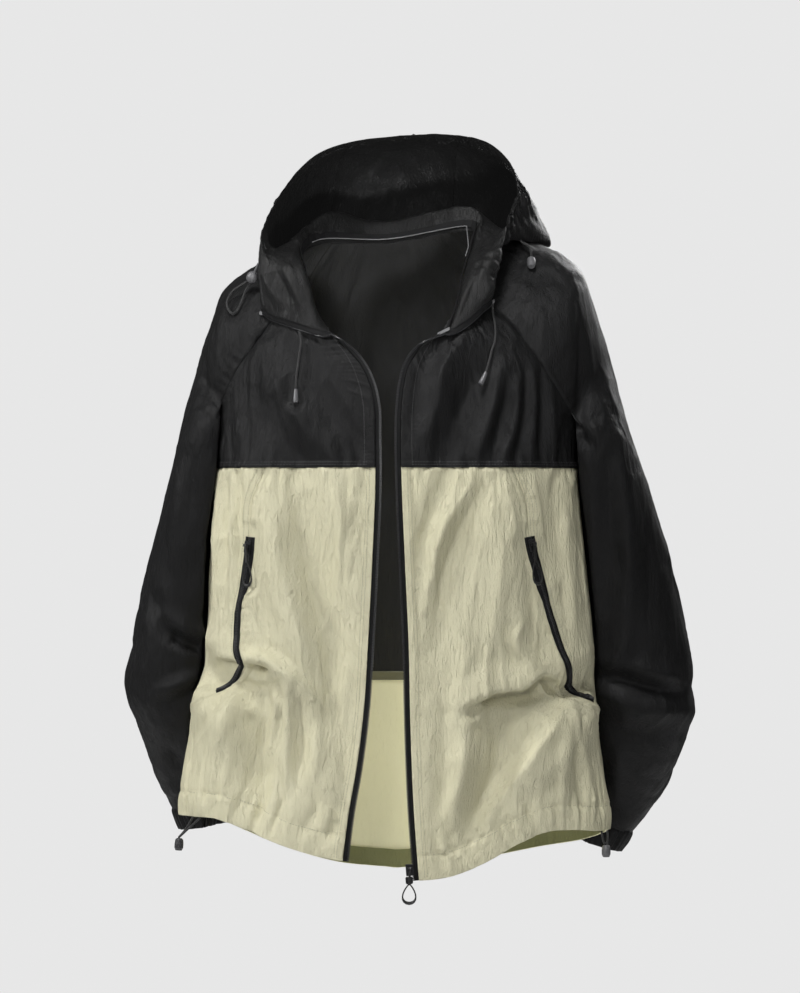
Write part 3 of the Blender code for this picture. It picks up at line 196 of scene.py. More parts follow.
# Raglan armholes from the neck (station 0) to the underarm (station 5): the front seam,
# the ridge of the shoulder and upper arm, and the back seam.
RAGLAN_STATION = (0, 1, 2, 3, 4, 5)
RAGLAN = {
    "left": {
        "front_x": (-104, -120, -138, -163, -180, -195),
        "front_z": (-10, -36, -61, -95, -120, -150),
        "ridge_x": (-107, -138, -166, -196, -211, -226),
        "ridge_y": (14, 14, 14, 15, 16, 18),
        "ridge_z": (14, 9, 0, -24, -62, -110),
        "back_x":  (-62, -84, -108, -138, -164, -188),
        "back_z":  (35, 6, -28, -72, -108, -146),
    },
    "right": {
        "front_x": (74, 100, 129, 158, 178, 196),
        "front_z": (-16, -40, -68, -106, -134, -163),
        "ridge_x": (88, 137, 178, 209, 223, 240),
        "ridge_y": (16, 15, 15, 15, 16, 18),
        "ridge_z": (26, 27, 21, 2, -34, -84),
        "back_x":  (50, 76, 104, 138, 165, 190),
        "back_z":  (38, 10, -26, -76, -118, -158),
    },
}
ARMHOLE_DIP = 16.0     # the underarm lies this far below station 5

# The arms as horizontal rings: outer and inner side, front and back, and the slope
# of the ring across the arm.
SLEEVE = {
    "left": {
        "z":     (-180, -226, -300, -380, -440, -490, -536, -582, -618, -644),
        "outer": (-245, -255, -274, -293, -307, -310, -293, -278, -260, -250),
        "inner": (-170, -168, -172, -180, -192, -196, -194, -192, -197, -196),
        "front": (-71, -68, -55, -42, -33, -26, -2, 30, 52, 54),
        "back":  (102, 106, 112, 118, 124, 128, 130, 130, 122, 118),
        "slope": (0.0, 0.0, 0.0, 0.0, 0.0, 0.0, 0.03, 0.08, 0.12, 0.14),
    },
    "right": {
        "z":     (-194, -240, -310, -390, -450, -500, -546, -592, -636, -662),
        "outer": (269, 286, 308, 328, 341, 343, 330, 310, 274, 259),
        "inner": (172, 172, 178, 188, 200, 206, 204, 200, 190, 187),
        "front": (-70, -66, -52, -40, -32, -24, 0, 32, 48, 50),
        "back":  (102, 106, 112, 120, 128, 132, 134, 134, 124, 120),
        "slope": (0.0, 0.0, 0.0, 0.0, 0.0, -0.04, -0.12, -0.22, -0.31, -0.33),
    },
}
CUFF_LENGTH = 23.0
CUFF_GATHERS = 13
CUFF_WAVE = 1.3
SLEEVE_CLEARANCE = 4.0   # between the arm and the side of the body
SLEEVE_FULLNESS = 2.25

# The hood as hoops from the neck seam up to its rim. Each hoop runs from the left
# front edge round the back of the neck to the right front edge, by the points that
# it passes. The number before them is how far up the cloth the hoop lies.
HOOD_AROUND = (-1.0, -0.86, -0.70, -0.50, -0.26, 0.0, 0.26, 0.50, 0.70, 0.86, 1.0)
HOOD = {
    "neck seam": (0.00, (
        (-72, -106, -78), (-91, -79, -47), (-104, -39, -9), (-108, 14, 16), (-88, 62, 34),
        (-8, 86, 37), (84, 58, 49), (86, 16, 28), (75, -38, -15), (68, -80, -48),
        (55, -107, -77))),
    "collar stand": (0.07, (
        (-80, -107, -76), (-93, -89, -38), (-105, -48, 2), (-113, 10, 30), (-90, 68, 52),
        (-8, 91, 50), (87, 62, 66), (93, 18, 40), (79, -46, -4), (72, -90, -40),
        (61, -108, -74))),
    "fold of the stand": (0.15, (
        (-88, -107, -73), (-96, -96, -28), (-108, -62, 8), (-122, 0, 28), (-82, 82, 70),
        (-10, 97, 62), (84, 70, 78), (102, 24, 46), (84, -56, 4), (76, -97, -30),
        (67, -107, -70))),
    "bottom of the bowl": (0.32, (
        (-105, -101, -67), (-110, -98, -16), (-124, -74, 8), (-140, 4, 25), (-99, 124, 10),
        (0, 152, -24), (104, 122, 18), (148, 50, 43), (104, -44, 18), (90, -95, -14),
        (81, -102, -60))),
    "back of the bowl": (0.52, (
        (-122, -88, -61), (-128, -90, -12), (-141, -68, 10), (-142, 24, 38), (-104, 168, 52),
        (8, 208, 44), (118, 170, 54), (178, 70, 32), (122, -26, 34), (102, -87, 0),
        (94, -94, -48))),
    "top of the bowl": (0.76, (
        (-138, -78, -55), (-144, -82, -16), (-150, -64, 20), (-143, 0, 62), (-88, 118, 132),
        (24, 158, 154), (112, 124, 134), (161, 50, 72), (128, -30, 52), (112, -76, 6),
        (104, -84, -40))),
    "draw cord channel": (0.94, (
        (-147, -74, -49), (-151, -76, -24), (-153, -58, 24), (-138, -14, 76), (-80, 42, 137),
        (34, 62, 159), (112, 48, 140), (143, 6, 93), (128, -34, 56), (116, -69, 8),
        (107, -77, -36))),
    "rim": (1.00, (
        (-150, -72, -48), (-152, -73, -24), (-153, -57, 24), (-138, -24, 74), (-82, 14, 138),
        (40, 30, 158), (114, 20, 142), (140, -10, 92), (127, -40, 52), (117, -67, 8),
        (108, -75, -35))),
}
HOOD_SEAM_LEFT = -0.20    # the hood's middle panel lies between these two
HOOD_SEAM_RIGHT = 0.13

# %% Routes of the cords
CORD_DIAMETER = 2.4
CORD_ROUTES = {
    "hood_cord_left": ((-107.6, -99.4, -74.3), (-106.5, -102, -79), (-105.4, -106, -87),
                       (-107, -111.5, -100), (-108.5, -114.5, -112.5), (-110, -118, -126),
                       (-110.5, -120.6, -139)),
    "hood_cord_right": ((108.1, -71.7, -41.8), (108.5, -74, -50), (110.6, -88, -68),
                        (109.8, -101.5, -86.5), (106.5, -108, -96), (104.4, -112.5, -104.6),
                        (99.9, -119.2, -120.4)),
    "hood_loop_left": ((-167.8, -51, -16.3), (-175, -49, -20.5), (-185, -47.5, -28),
                       (-190, -49.5, -38), (-188.5, -56, -48), (-183, -62, -53),
                       (-177.5, -61.5, -48), (-173.5, -58, -39), (-170, -54, -29),
                       (-165, -50.5, -18.6)),
    "hood_loop_right": ((141.9, 4.6, 33.8), (144, -4, 31), (148, -13, 28.5), (152, -21.5, 23.5),
                        (153.3, -26.2, 17.5), (153, -28, 12.4)),
    "hem_loop_left": ((-226.5, -87.5, -616), (-233, -84.5, -627), (-238.3, -82.7, -634.2),
                      (-241.2, -82.9, -637.4), (-242.3, -84.6, -638.6), (-241, -86.3, -637.4),
                      (-237.6, -87.6, -634.2), (-231, -91, -628), (-218, -96, -616)),
    "hem_loop_right": ((229.5, -79.5, -632), (231, -80, -639), (232.5, -79, -645),
                       (234.5, -77, -647), (236.2, -75, -645), (237, -73, -639),
                       (236.6, -71.5, -632)),
}

# %% Large folds
# Each fold of the body: its name, the angle from centre front and the height of both its
# ends, its width, and its depth (a trough is positive).
FOLDS = (
    ("left pinch", (-84, -447), (-38, -470), 15, 15),
    ("left puff", (-80, -486), (-40, -520), 22, -8),
    ("right pinch", (82, -463), (24, -488), 15, 12),
    ("right puff", (74, -500), (38, -560), 22, -9),
    ("right drape", (28, -560), (20, -330), 26, 6),
)


# %% [markdown]
# ## Surfaces
# Each piece of cloth lies on a smooth surface that follows from the tables. A spline joins the
# values between two heights, a rounded section joins front, side and back, and the hood is a
# run of hoops from the neck seam to the rim.

# %% Curves and body sections
def spline(knots, values, at, column=()):
    """Smooth curve (cubic Hermite) through rows of values at knots.

    With a column for each place in at, every place lies on a curve of its own.
    """
    knots, values, at = (np.asarray(given, float) for given in (knots, values, at))
    step = np.diff(knots)
    wide = step.reshape((-1,) + (1,) * (values.ndim - 1))
    slope = np.diff(values, axis=0) / wide
    inner = (slope[:-1] * wide[1:] + slope[1:] * wide[:-1]) / (wide[:-1] + wide[1:])
    tangent = np.concatenate([slope[:1], inner, slope[-1:]])
    clipped = np.clip(at, knots[0], knots[-1])
    i = np.clip(np.searchsorted(knots, clipped, side="right") - 1, 0, len(step) - 1)
    spread = np.shape(at) + (1,) * (values.ndim - 1 - len(column))
    h = step[i].reshape(spread)
    t = ((clipped - knots[i]) / step[i]).reshape(spread)
    here, there = (i, *column), (i + 1, *column)
    start = (1 + 2 * t) * (1 - t) ** 2 * values[here] + t * (1 - t) ** 2 * h * tangent[here]
    end = t * t * (3 - 2 * t) * values[there] + t * t * (t - 1) * h * tangent[there]
    return start + end


def lengths(line, axis=0):
    """Distance along a line, or along the rows or columns of a net, from its first point."""
    steps = np.linalg.norm(np.diff(line, axis=axis), axis=-1)
    return np.insert(np.cumsum(steps, axis=axis), 0, 0, axis=axis)


def between(steps, at, values):
    """Rows of values at steps, on straight lines between those at the places in at."""
    return np.stack([np.interp(steps, at, column) for column in values.T], -1)


def unit(vectors):
    """Vectors at length one."""
    return vectors / np.maximum(np.linalg.norm(vectors, axis=-1, keepdims=True), 1e-9)


def section(z, side):
    """Half width, widest y, front y and back y of the body at height z."""
    return [spline(BODY["z"], BODY[name], z) for name in (side, "side_y", "front", "back")]


def fold_depth(phi, z):
    """How far the large folds push the body's cloth in (positive) at an angle and height."""
    depth = np.zeros(np.broadcast(phi, z).shape)
    for _, start, end, width, deep in FOLDS:
        a, b = (np.array((math.radians(turn) * GIRTH_RADIUS, height))
                for turn, height in (start, end))
        px = phi * GIRTH_RADIUS - a[0]
        pz = z - a[1]
        run = b - a
        t = np.clip((px * run[0] + pz * run[1]) / (run @ run), 0, 1)
        away = np.hypot(px - t * run[0], pz - t * run[1]) / width
        fade = np.sin(np.pi * (0.08 + 0.84 * t)) ** 0.6
        profile = np.exp(-away ** 2) - 0.3 * np.exp(-(away - 2.1) ** 2)
        depth = depth + deep * fade * profile
    return depth


def body_base(phi, z):
    """Point of the body's section at angle phi from centre front (negative on the left)."""
    phi = np.asarray(phi, float)
    z = np.asarray(z, float) + 0 * phi
    phi = phi + 0 * z
    left = section(z, "left")
    right = section(z, "right")
    half = np.where(phi < 0, left[0], right[0])
    side_y, front, back = left[1:]
    turn = np.abs(phi)
    front_half = turn < math.pi / 2
    power = np.where(front_half, 2 / FRONT_FULLNESS, 2 / BACK_FULLNESS)
    across = np.abs(np.sin(turn)) ** power
    along = np.abs(np.cos(turn)) ** power
    x = np.sign(phi) * half * across
    y = np.where(front_half, side_y - (side_y - front) * along, side_y + (back - side_y) * along)
    return np.stack([x, y, z], -1)


def body_normal(phi, z):
    """Outward normal of the body's section surface."""
    step = 0.02
    around = body_base(phi + step, z) - body_base(phi - step, z)
    up = body_base(phi, z + 2.0) - body_base(phi, z - 2.0)
    return unit(np.cross(around, up))


def body_point(phi, z):
    """Body surface with its large folds."""
    return body_base(phi, z) - fold_depth(phi, z)[..., None] * body_normal(phi, z)


def angle_of(x, z, side, behind=False):
    """Angle round the body at which its section passes x, on the front or the back."""
    half = spline(BODY["z"], BODY[side], z)
    fullness = BACK_FULLNESS if behind else FRONT_FULLNESS
    share = np.clip(np.abs(x) / half, 0, 1) ** (fullness / 2)
    turn = np.arcsin(share)
    if behind:
        turn = math.pi - turn
    return np.sign(x) * turn


def edge_angle(side, z):
    """Angle of the front edge on one side at height z."""
    return angle_of(spline(FRONT_EDGE["z"], FRONT_EDGE[side], z), z, side)


def pocket_angle(side, z):
    """Angle of the pocket seam on one side at height z."""
    turn = spline(POCKET_SEAM["z"][::-1], POCKET_SEAM[side][::-1], z)
    return sign_of(side) * np.radians(turn)


def hem_height(phi):
    """Height of the hem at an angle."""
    turn = np.degrees(np.abs(phi))
    left = spline(HEM["angle"], HEM["left"], turn)
    right = spline(HEM["angle"], HEM["right"], turn)
    return np.where(phi < 0, left, right)


def sign_of(side):
    """-1 on the left of the view, +1 on the right."""
    return -1 if side == "left" else 1


chest = sum(float(section(-226.0, side)[0]) for side in ("left", "right"))
print("body width at the chest:", round(chest), "mm")

# %% Armholes and the hood surface
YOKE_SEAM = -226.0
BACK_SEAM = -466.0


def armhole(side, station, name):
    """Angle and height of the raglan seam, front or back, at a station."""
    rows = RAGLAN[side]
    x = spline(RAGLAN_STATION, rows[name + "_x"], station)
    z = spline(RAGLAN_STATION, rows[name + "_z"], station)
    return angle_of(x, z, side, behind=(name == "back")), z


def underarm(side, share):
    """Angle and height along the bottom of the armhole, front (0) to back (1)."""
    phi_front, z_front = armhole(side, 5.0, "front")
    phi_back, z_back = armhole(side, 5.0, "back")
    phi = phi_front + (phi_back - phi_front) * share
    z = z_front + (z_back - z_front) * share - ARMHOLE_DIP * np.sin(np.pi * share)
    return phi, z


def side_share(side):
    """Where along the armhole's bottom the side seam starts."""
    phi_front, _ = armhole(side, 5.0, "front")
    phi_back, _ = armhole(side, 5.0, "back")
    return (sign_of(side) * math.pi / 2 - phi_front) / (phi_back - phi_front)


SIDE_PART = 0.30       # share of the yoke's rows along the side seam
UNDERARM_PART = 0.38   # and up to the end of the armhole's bottom
NECK_EASE = 0.55       # rows above this bend towards the neck seam
BACK_NECK_TOP = 36.0   # height of the back's middle before it bends to the neck seam
BACK_ROW_RISE = 0.85   # how far the back's rows rise towards their middle


def row_of_station(station):
    """The yoke row at which a station of the raglan seam lies."""
    return 1 - station / 5.0 * (1 - UNDERARM_PART)


def upper_boundary(side, name, row):
    """Outer edge of the yoke or of the back's top, row 0 at the side seam, 1 at the neck."""
    row = np.asarray(row, float)
    start = YOKE_SEAM
    _, z_under = underarm(side, side_share(side))
    phi_side = sign_of(side) * math.pi / 2 + 0 * row
    z_side = start + (z_under - start) * np.clip(row / SIDE_PART, 0, 1)
    share = np.clip((row - SIDE_PART) / (UNDERARM_PART - SIDE_PART), 0, 1)
    target = 0.0 if name == "front" else 1.0
    phi_u, z_u = underarm(side, side_share(side) + (target - side_share(side)) * share)
    station = 5.0 * (1 - np.clip((row - UNDERARM_PART) / (1 - UNDERARM_PART), 0, 1))
    phi_r, z_r = armhole(side, station, name)
    phi = np.where(row <= SIDE_PART, phi_side, np.where(row <= UNDERARM_PART, phi_u, phi_r))
    z = np.where(row <= SIDE_PART, z_side, np.where(row <= UNDERARM_PART, z_u, z_r))
    return phi, z


def hood_point(around, up):
    """Hood surface: around runs -1 (left front edge) to 1 (right), up runs 0 (neck) to 1 (rim)."""
    around, up = np.broadcast_arrays(np.asarray(around, float), np.asarray(up, float))
    hoops = np.stack([spline(HOOD_AROUND, points, around.ravel()) for _, points in HOOD.values()])
    levels = [at for at, _ in HOOD.values()]
    points = spline(levels, hoops, up.ravel(), column=(np.arange(up.size),))
    return points.reshape(around.shape + (3,))


def hood_normal(around, up):
    """Normal of the hood on the side that shows outward when it is worn up."""
    a0 = hood_point(np.clip(around - 0.01, -1, 1), up)
    a1 = hood_point(np.clip(around + 0.01, -1, 1), up)
    u0 = hood_point(around, np.clip(up - 0.01, 0, 1))
    u1 = hood_point(around, np.clip(up + 0.01, 0, 1))
    return unit(np.cross(u1 - u0, a1 - a0))


NECK_FRONT = 0.70   # hood_around at the front raglan seam's top
NECK_BACK = 0.20    # and at the back raglan seam's top


def neck_point(around):
    """The neck seam."""
    return hood_point(around, np.zeros_like(np.asarray(around, float)))


# %% Rows and columns of the body's cloth
def along_of(line):
    """Direction of a row or column of points."""
    return unit(np.gradient(line, axis=0))


def inward(border, neighbour):
    """Direction across a border into the cloth, square to the border."""
    step = neighbour - border
    along = along_of(border)
    return unit(step - (step * along).sum(-1, keepdims=True) * along)


def neck_fade(row):
    """How far a row follows the neck seam: 1 on the seam, 0 below the shoulders."""
    fade = np.clip((np.asarray(row, float) - NECK_EASE) / (1 - NECK_EASE), 0, 1)
    return fade * fade * (3 - 2 * fade)


def ease_to_neck(points, rows, target):
    """Bend the top rows so that the last one lies on the neck seam."""
    return points + neck_fade(rows)[:, None, None] * (target - points[-1])


# %% Rings of the sleeves
def push_out(points, clearance):
    """Move points that come too near the body sideways out of it."""
    x, y, z = np.moveaxis(points, -1, 0)
    left = section(z, "left")
    right = section(z, "right")
    half = np.where(x < 0, left[0], right[0])
    side_y, front, back = left[1:]
    depth = np.where(y < side_y, side_y - front, back - side_y)
    power = np.where(y < side_y, FRONT_FULLNESS, BACK_FULLNESS)
    along = np.clip(np.abs(y - side_y) / depth, 0, 1)
    wall = half * (1 - along ** power) ** (1 / power)
    need = np.where(along < 1, wall + clearance * (1 + 1.2 * along), 0)
    moved = points.copy()
    moved[..., 0] = np.sign(x) * np.maximum(np.abs(x), need)
    return moved


def cap_arc(angle, front, ridge, back):
    """Rounded arc from a front point over a ridge point to a back point."""
    centre = (front + back) / 2
    power = 2 / SLEEVE_FULLNESS
    c = np.sign(np.cos(angle)) * np.abs(np.cos(angle)) ** power
    s = np.abs(np.sin(angle)) ** power
    return centre + np.outer(c, (front - back) / 2) + np.outer(s, ridge - centre)


def sleeve_cap_ring(side, station, angle):
    """Sleeve head: ring from the front raglan seam over the ridge to the back seam."""
    rows = RAGLAN[side]
    around = sign_of(side) * (NECK_FRONT + (NECK_BACK - NECK_FRONT) * angle / math.pi)
    neck = neck_point(around)

    def unbent(at):
        front = body_point(*armhole(side, at, "front"))
        back = body_point(*armhole(side, at, "back"))
        ridge = np.array([spline(RAGLAN_STATION, rows["ridge_" + axis], at) for axis in "xyz"])
        return cap_arc(angle, front, ridge, back)

    fade = neck_fade(row_of_station(station))
    return unbent(station) + fade * (neck - unbent(0.0))


def sleeve_ring(side, z, angle):
    """Arm ring at height z: angle 0 at the front, 90 degrees outside, 180 at the back."""
    rows = SLEEVE[side]
    knots = rows["z"][::-1]
    outer, inner, front, back, slope = [
        spline(knots, rows[name][::-1], z) for name in ("outer", "inner", "front", "back", "slope")]
    power = 2 / SLEEVE_FULLNESS
    c = np.sign(np.cos(angle)) * np.abs(np.cos(angle)) ** power
    s = np.sign(np.sin(angle)) * np.abs(np.sin(angle)) ** power
    x = (outer + inner) / 2 + s * (outer - inner) / 2
    y = (front + back) / 2 - c * (back - front) / 2
    middle = (outer + inner) / 2
    points = push_out(np.stack([x, y, z + slope * (x - middle)], -1), SLEEVE_CLEARANCE)
    points[..., 2] = z + slope * (points[..., 0] - middle)
    return points


def sleeve_surface(side, cap_stations, arm_heights, outer, inner):
    """Outer and inner grids of a sleeve; they share the front and back lines."""
    over = np.linspace(0, math.pi, outer + 1)
    under = np.linspace(math.pi, 2 * math.pi, inner + 1)
    cap = [sleeve_cap_ring(side, s, over) for s in cap_stations]
    arm_over = [sleeve_ring(side, z, over) for z in arm_heights]
    share = np.linspace(1, 0, inner + 1)
    bottom = body_point(*underarm(side, share))
    arm_under = [sleeve_ring(side, z, under) for z in arm_heights]
    cap.append((cap[-1] + arm_over[0]) / 2)
    bend = push_out((bottom + arm_under[0]) / 2, SLEEVE_CLEARANCE / 2)
    return np.stack(cap + arm_over), np.stack([bottom, bend] + arm_under)


# %% [markdown]
# ## What makes cloth look like cloth
# Three things bend thin nylon. Large creases run from the points where it is pulled or
# squeezed, and they are listed one by one. Between them the cloth is crumpled all over, like
# paper that was folded and opened again. At the seams the thread is shorter than the cloth,
# so small puckers stand across it. Each of them is a depth in millimetres along the normal of
# the surface, and the three are added up.

# %% Seeded noise
def hills(points, size, seed):
    """Smooth noise, about -1 to 1, at points in mm. size is its grain along x, y and z."""
    place = points / np.asarray(size, float) + 37.7 * seed
    cell = np.floor(place).astype(np.int64)
    part = place - cell
    ease = part ** 3 * (part * (part * 6 - 15) + 10)
    total = np.zeros(len(points))
    for corner in itertools.product((0, 1), repeat=3):
        at = cell + corner
        key = at[:, 0] * 73856093 ^ at[:, 1] * 19349663 ^ at[:, 2] * 83492791 ^ seed * 6291469
        key = ((key & 0xFFFFFFFF) ^ (key >> 15 & 0x1FFFF)) * 2246822519 & 0xFFFFFFFF
        key = (key ^ key >> 13) * 3266489917 & 0xFFFFFFFF
        turn = (key & 0xFFFF) * (2 * math.pi / 65535)
        rise = (key >> 16 & 0xFFFF) / 32767.5 - 1
        flat = np.sqrt(1 - rise ** 2)
        slope = np.stack([np.cos(turn) * flat, np.sin(turn) * flat, rise], -1)
        weight = np.prod(np.where(corner, ease, 1 - ease), -1)
        total += weight * (slope * (part - corner)).sum(-1)
    return total * 1.6


def ridges(points, size, seed):
    """Noise with sharp crests, 0 to 1."""
    return 1 - np.abs(hills(points, size, seed))


# %% Crumple of the cloth
CRUMPLE = (            # grain across, grain along, depth in mm
    (34.0, 120.0, 4.6),
    (14.5, 58.0, 1.9),
    (7.2, 27.0, 1.1),
)


def crumple(points, amount, seed):
    """Crumpled relief in mm at points of the cloth, stronger in some places than in others."""
    bend = np.stack([hills(points, (30, 30, 50), seed + k) for k in (11, 12, 13)], -1)
    warped = points + bend * (7, 7, 16)
    patchy = 0.55 + 0.75 * np.clip(hills(points, (70, 70, 90), seed + 20) + 0.35, 0, 1)
    relief = np.zeros(len(points))
    for k, (across, along, depth) in enumerate(CRUMPLE):
        crest = ridges(warped, (across, across, along), seed + 3 * k)
        tilt = hills(warped + 5, (across * 1.3, across * 1.3, along * 1.2), seed + 3 * k + 1)
        relief += depth * (0.8 * (crest ** 2 - 0.62) + 0.45 * tilt)
    return amount * patchy * relief


# %% Creases listed one by one
VIEWS = {     # which two axes are seen, and the axis and sign that face the viewer
    "front": (0, 2, 1, -1), "back": (0, 2, 1, 1), "left": (1, 2, 0, -1), "right": (1, 2, 0, 1),
}


def curve_through(line, parts=5):
    """A smooth line through a few points."""
    line = np.asarray(line, float)
    if len(line) < 3:
        return line
    at = lengths(line)
    fine = np.interp(np.linspace(0, len(line) - 1, parts * (len(line) - 1) + 1),
                     np.arange(len(line)), at)
    return spline(at, line, fine)


def nearest_on(points, line):
    """Distance of each point to a line, how far along the line it is, and on which step."""
    line = np.asarray(line, float)
    runs = np.linalg.norm(np.diff(line, axis=0), axis=1)
    start = lengths(line)
    nearest = np.full(len(points), 1e9)
    along = np.zeros(len(points))
    part = np.zeros(len(points), int)
    for k, run in enumerate(runs):
        if run < 1e-6:
            continue
        step = (line[k + 1] - line[k]) / run
        offset = points - line[k]
        t = np.clip(offset @ step, 0, run)
        away = np.linalg.norm(offset - t[:, None] * step, axis=1)
        closer = away < nearest
        nearest = np.where(closer, away, nearest)
        along = np.where(closer, start[k] + t, along)
        part = np.where(closer, k, part)
    return nearest, along, part


def near_line(points, line):
    """Distance of each point to a line of points, and how far along the line that is."""
    return nearest_on(points, line)[:2]


def creases(points, normals, table):
    """Depth in mm, pressed in where positive, of creases drawn on the cloth as it is seen.

    The table has rows for each view: half width, depth and lean of a crease, and then the
    points that it runs through. With a lean above 0, the side on the right of a line drawn
    downward is the shallow one.
    """
    depth = np.zeros(len(points))
    for view, rows in table.items():
        a, b, axis, sign = VIEWS[view]
        seen = points[:, (a, b)]
        facing = np.clip(sign * normals[:, axis] * 2.2 + 0.1, 0, 1)
        for width, deep, lean, *line in rows:
            line = curve_through(line)
            away, along, part = nearest_on(seen, line)
            step = unit(np.diff(line, axis=0))[part]
            offset = seen - line[part]
            cross = (step[:, 0] * offset[:, 1] - step[:, 1] * offset[:, 0]) / width
            hand = np.clip(cross * 2, -1, 1)
            share = along / lengths(line)[-1]
            fade = np.sin(np.pi * (0.08 + 0.84 * share)) ** 0.7
            beside = away / (width * (1 + lean * hand))
            profile = np.exp(-beside ** 1.5) - 0.22 * np.exp(-(beside - 2.3) ** 2)
            depth += deep * fade * profile * facing
    return depth


# %% Seams
def uneven_waves(along, pitch, seed):
    """Waves along a seam, about -1 to 1, of uneven length and height."""
    fixed = np.stack([along, 0 * along, 0 * along], -1)
    return np.clip(2.1 * hills(fixed, (pitch * 0.62, 1, 1), seed), -1, 1)


def seam_relief(points, line, groove=0.8, pucker=0.5, pitch=7.0, reach=9.0, band=0.0,
                raised=0.35, slant=0.0, seed=1):
    """Relief of a seam: a groove on the line, puckers across it, and a doubled band beside it."""
    away, along = near_line(points, line)
    relief = -groove * np.exp(-(away / 1.5) ** 2)
    waves = uneven_waves(along + slant * away, pitch, seed)
    beyond = np.where(away > band, away - band, 0.8 * (band - away))
    relief += pucker * waves * np.exp(-(beyond / reach) ** 2)
    if band:
        inside = 1 / (1 + np.exp((away - band) / 0.5))
        relief += raised * inside - 0.45 * np.exp(-((away - band - 0.6) / 1.1) ** 2)
    return relief


print("creases, crumple and seams are ready")


# %% [markdown]
# ## Finishes
# The shader arithmetic reads like sums: a small class wraps a node's socket, so that an
# expression adds its Math nodes. The nylon is a fine plain weave, too fine to see from a
# step away. What shows is its tiny crinkle, a soft gloss that varies a little, and painted
# shade that makes the cloth darker in the hollows of the crinkle.

# %% Shader arithmetic
class Value:
    """A number that varies over a surface. Arithmetic on it adds Math nodes."""

    def __init__(self, finish, socket):
        self.finish = finish
        self.socket = socket

    def math(self, operation, *given):
        node = self.finish.node("ShaderNodeMath", {"operation": operation}, dict(enumerate(given)))
        return Value(self.finish, node.outputs[0])

    def __add__(self, other):
        return self.math("ADD", self, other)

    def __radd__(self, other):
        return self.math("ADD", other, self)

    def __sub__(self, other):
        return self.math("SUBTRACT", self, other)

    def __rsub__(self, other):
        return self.math("SUBTRACT", other, self)

    def __mul__(self, other):
        return self.math("MULTIPLY", self, other)

    def __rmul__(self, other):
        return self.math("MULTIPLY", other, self)

    def absolute(self):
        return self.math("ABSOLUTE", self)

    def sine(self):
        return self.math("SINE", self)

    def clamped(self):
        return self.math("MINIMUM", self.math("MAXIMUM", self, 0.0), 1.0)


class Finish:
    """A material that is put together from nodes."""

    def __init__(self, name, roughness=0.5, metallic=0.0, sheen=0.0, specular=0.5):
        self.material = bpy.data.materials.new(name)
        self.material.use_nodes = True
        self.tree = self.material.node_tree
        self.shader = self.tree.nodes["Principled BSDF"]
        for socket, value in (("Roughness", roughness), ("Metallic", metallic),
                              ("Sheen Weight", sheen), ("Specular IOR Level", specular)):
            self.shader.inputs[socket].default_value = value

    def node(self, kind, settings=None, inputs=None):
        """Add a node, make its settings, then give its sockets values or links."""
        node = self.tree.nodes.new(kind)
        for name, value in (settings or {}).items():
            if name == "stops":
                for k, (place, colour) in enumerate(value):
                    element = node.color_ramp.elements
                    stop = element[k] if k < len(element) else element.new(place)
                    stop.position, stop.color = place, (*colour, 1)
            else:
                setattr(node, name, value)
        for name, value in (inputs or {}).items():
            value = value.socket if isinstance(value, Value) else value
            if isinstance(value, bpy.types.NodeSocket):
                self.tree.links.new(value, node.inputs[name])
            else:
                node.inputs[name].default_value = value
        return node

    def noise(self, grain, detail=3.0, warp=0.0):
        """Fractal noise, 0 to 1, with a grain in metres along x, y and z of the object."""
        where = self.node("ShaderNodeTexCoord").outputs["Object"]
        place = self.node("ShaderNodeVectorMath", {"operation": "MULTIPLY"},
                          {0: where, 1: tuple(1 / size for size in grain)}).outputs[0]
        node = self.node("ShaderNodeTexNoise", {}, {"Vector": place, "Scale": 1.0,
                         "Detail": detail, "Roughness": 0.55, "Distortion": warp})
        return Value(self, node.outputs["Fac"])

    def along(self):
        """The two coordinates of the piece's own UV map, in metres of cloth."""
        where = self.node("ShaderNodeUVMap", {"uv_map": "cloth"}).outputs["UV"]
        parts = self.node("ShaderNodeSeparateXYZ", {}, {0: where})
        return Value(self, parts.outputs[0]), Value(self, parts.outputs[1])

    def blend(self, factor, first, second):
        """Colour between two others."""
        node = self.node("ShaderNodeMix", {"data_type": "RGBA"}, {"Factor": factor})
        for socket, colour in (("A", first), ("B", second)):
            slot = [s for s in node.inputs if s.name == socket and s.type == "RGBA"][0]
            if isinstance(colour, bpy.types.NodeSocket):
                self.tree.links.new(colour, slot)
            else:
                slot.default_value = (*colour, 1)
        return [s for s in node.outputs if s.type == "RGBA"][0]

    def feed(self, **sockets):
        """Link what varies to the shader's sockets, named with _ for a space."""
        for name, value in sockets.items():
            value = value.socket if isinstance(value, Value) else value
            self.tree.links.new(value, self.shader.inputs[name.replace("_", " ")])

    def emboss(self, height, depth):
        """Bump from a height of 0 to 1 that is depth metres deep."""
        bump = self.node("ShaderNodeBump", {}, {"Height": height, "Distance": depth,
                                                "Strength": 1.0})
        self.feed(Normal=bump.outputs["Normal"])


# %% Crinkled nylon
THREAD_PITCH = 0.0007      # metres from thread to thread of the weave
GLOSS_CHANGE = 0.06        # how much the roughness varies over the cloth


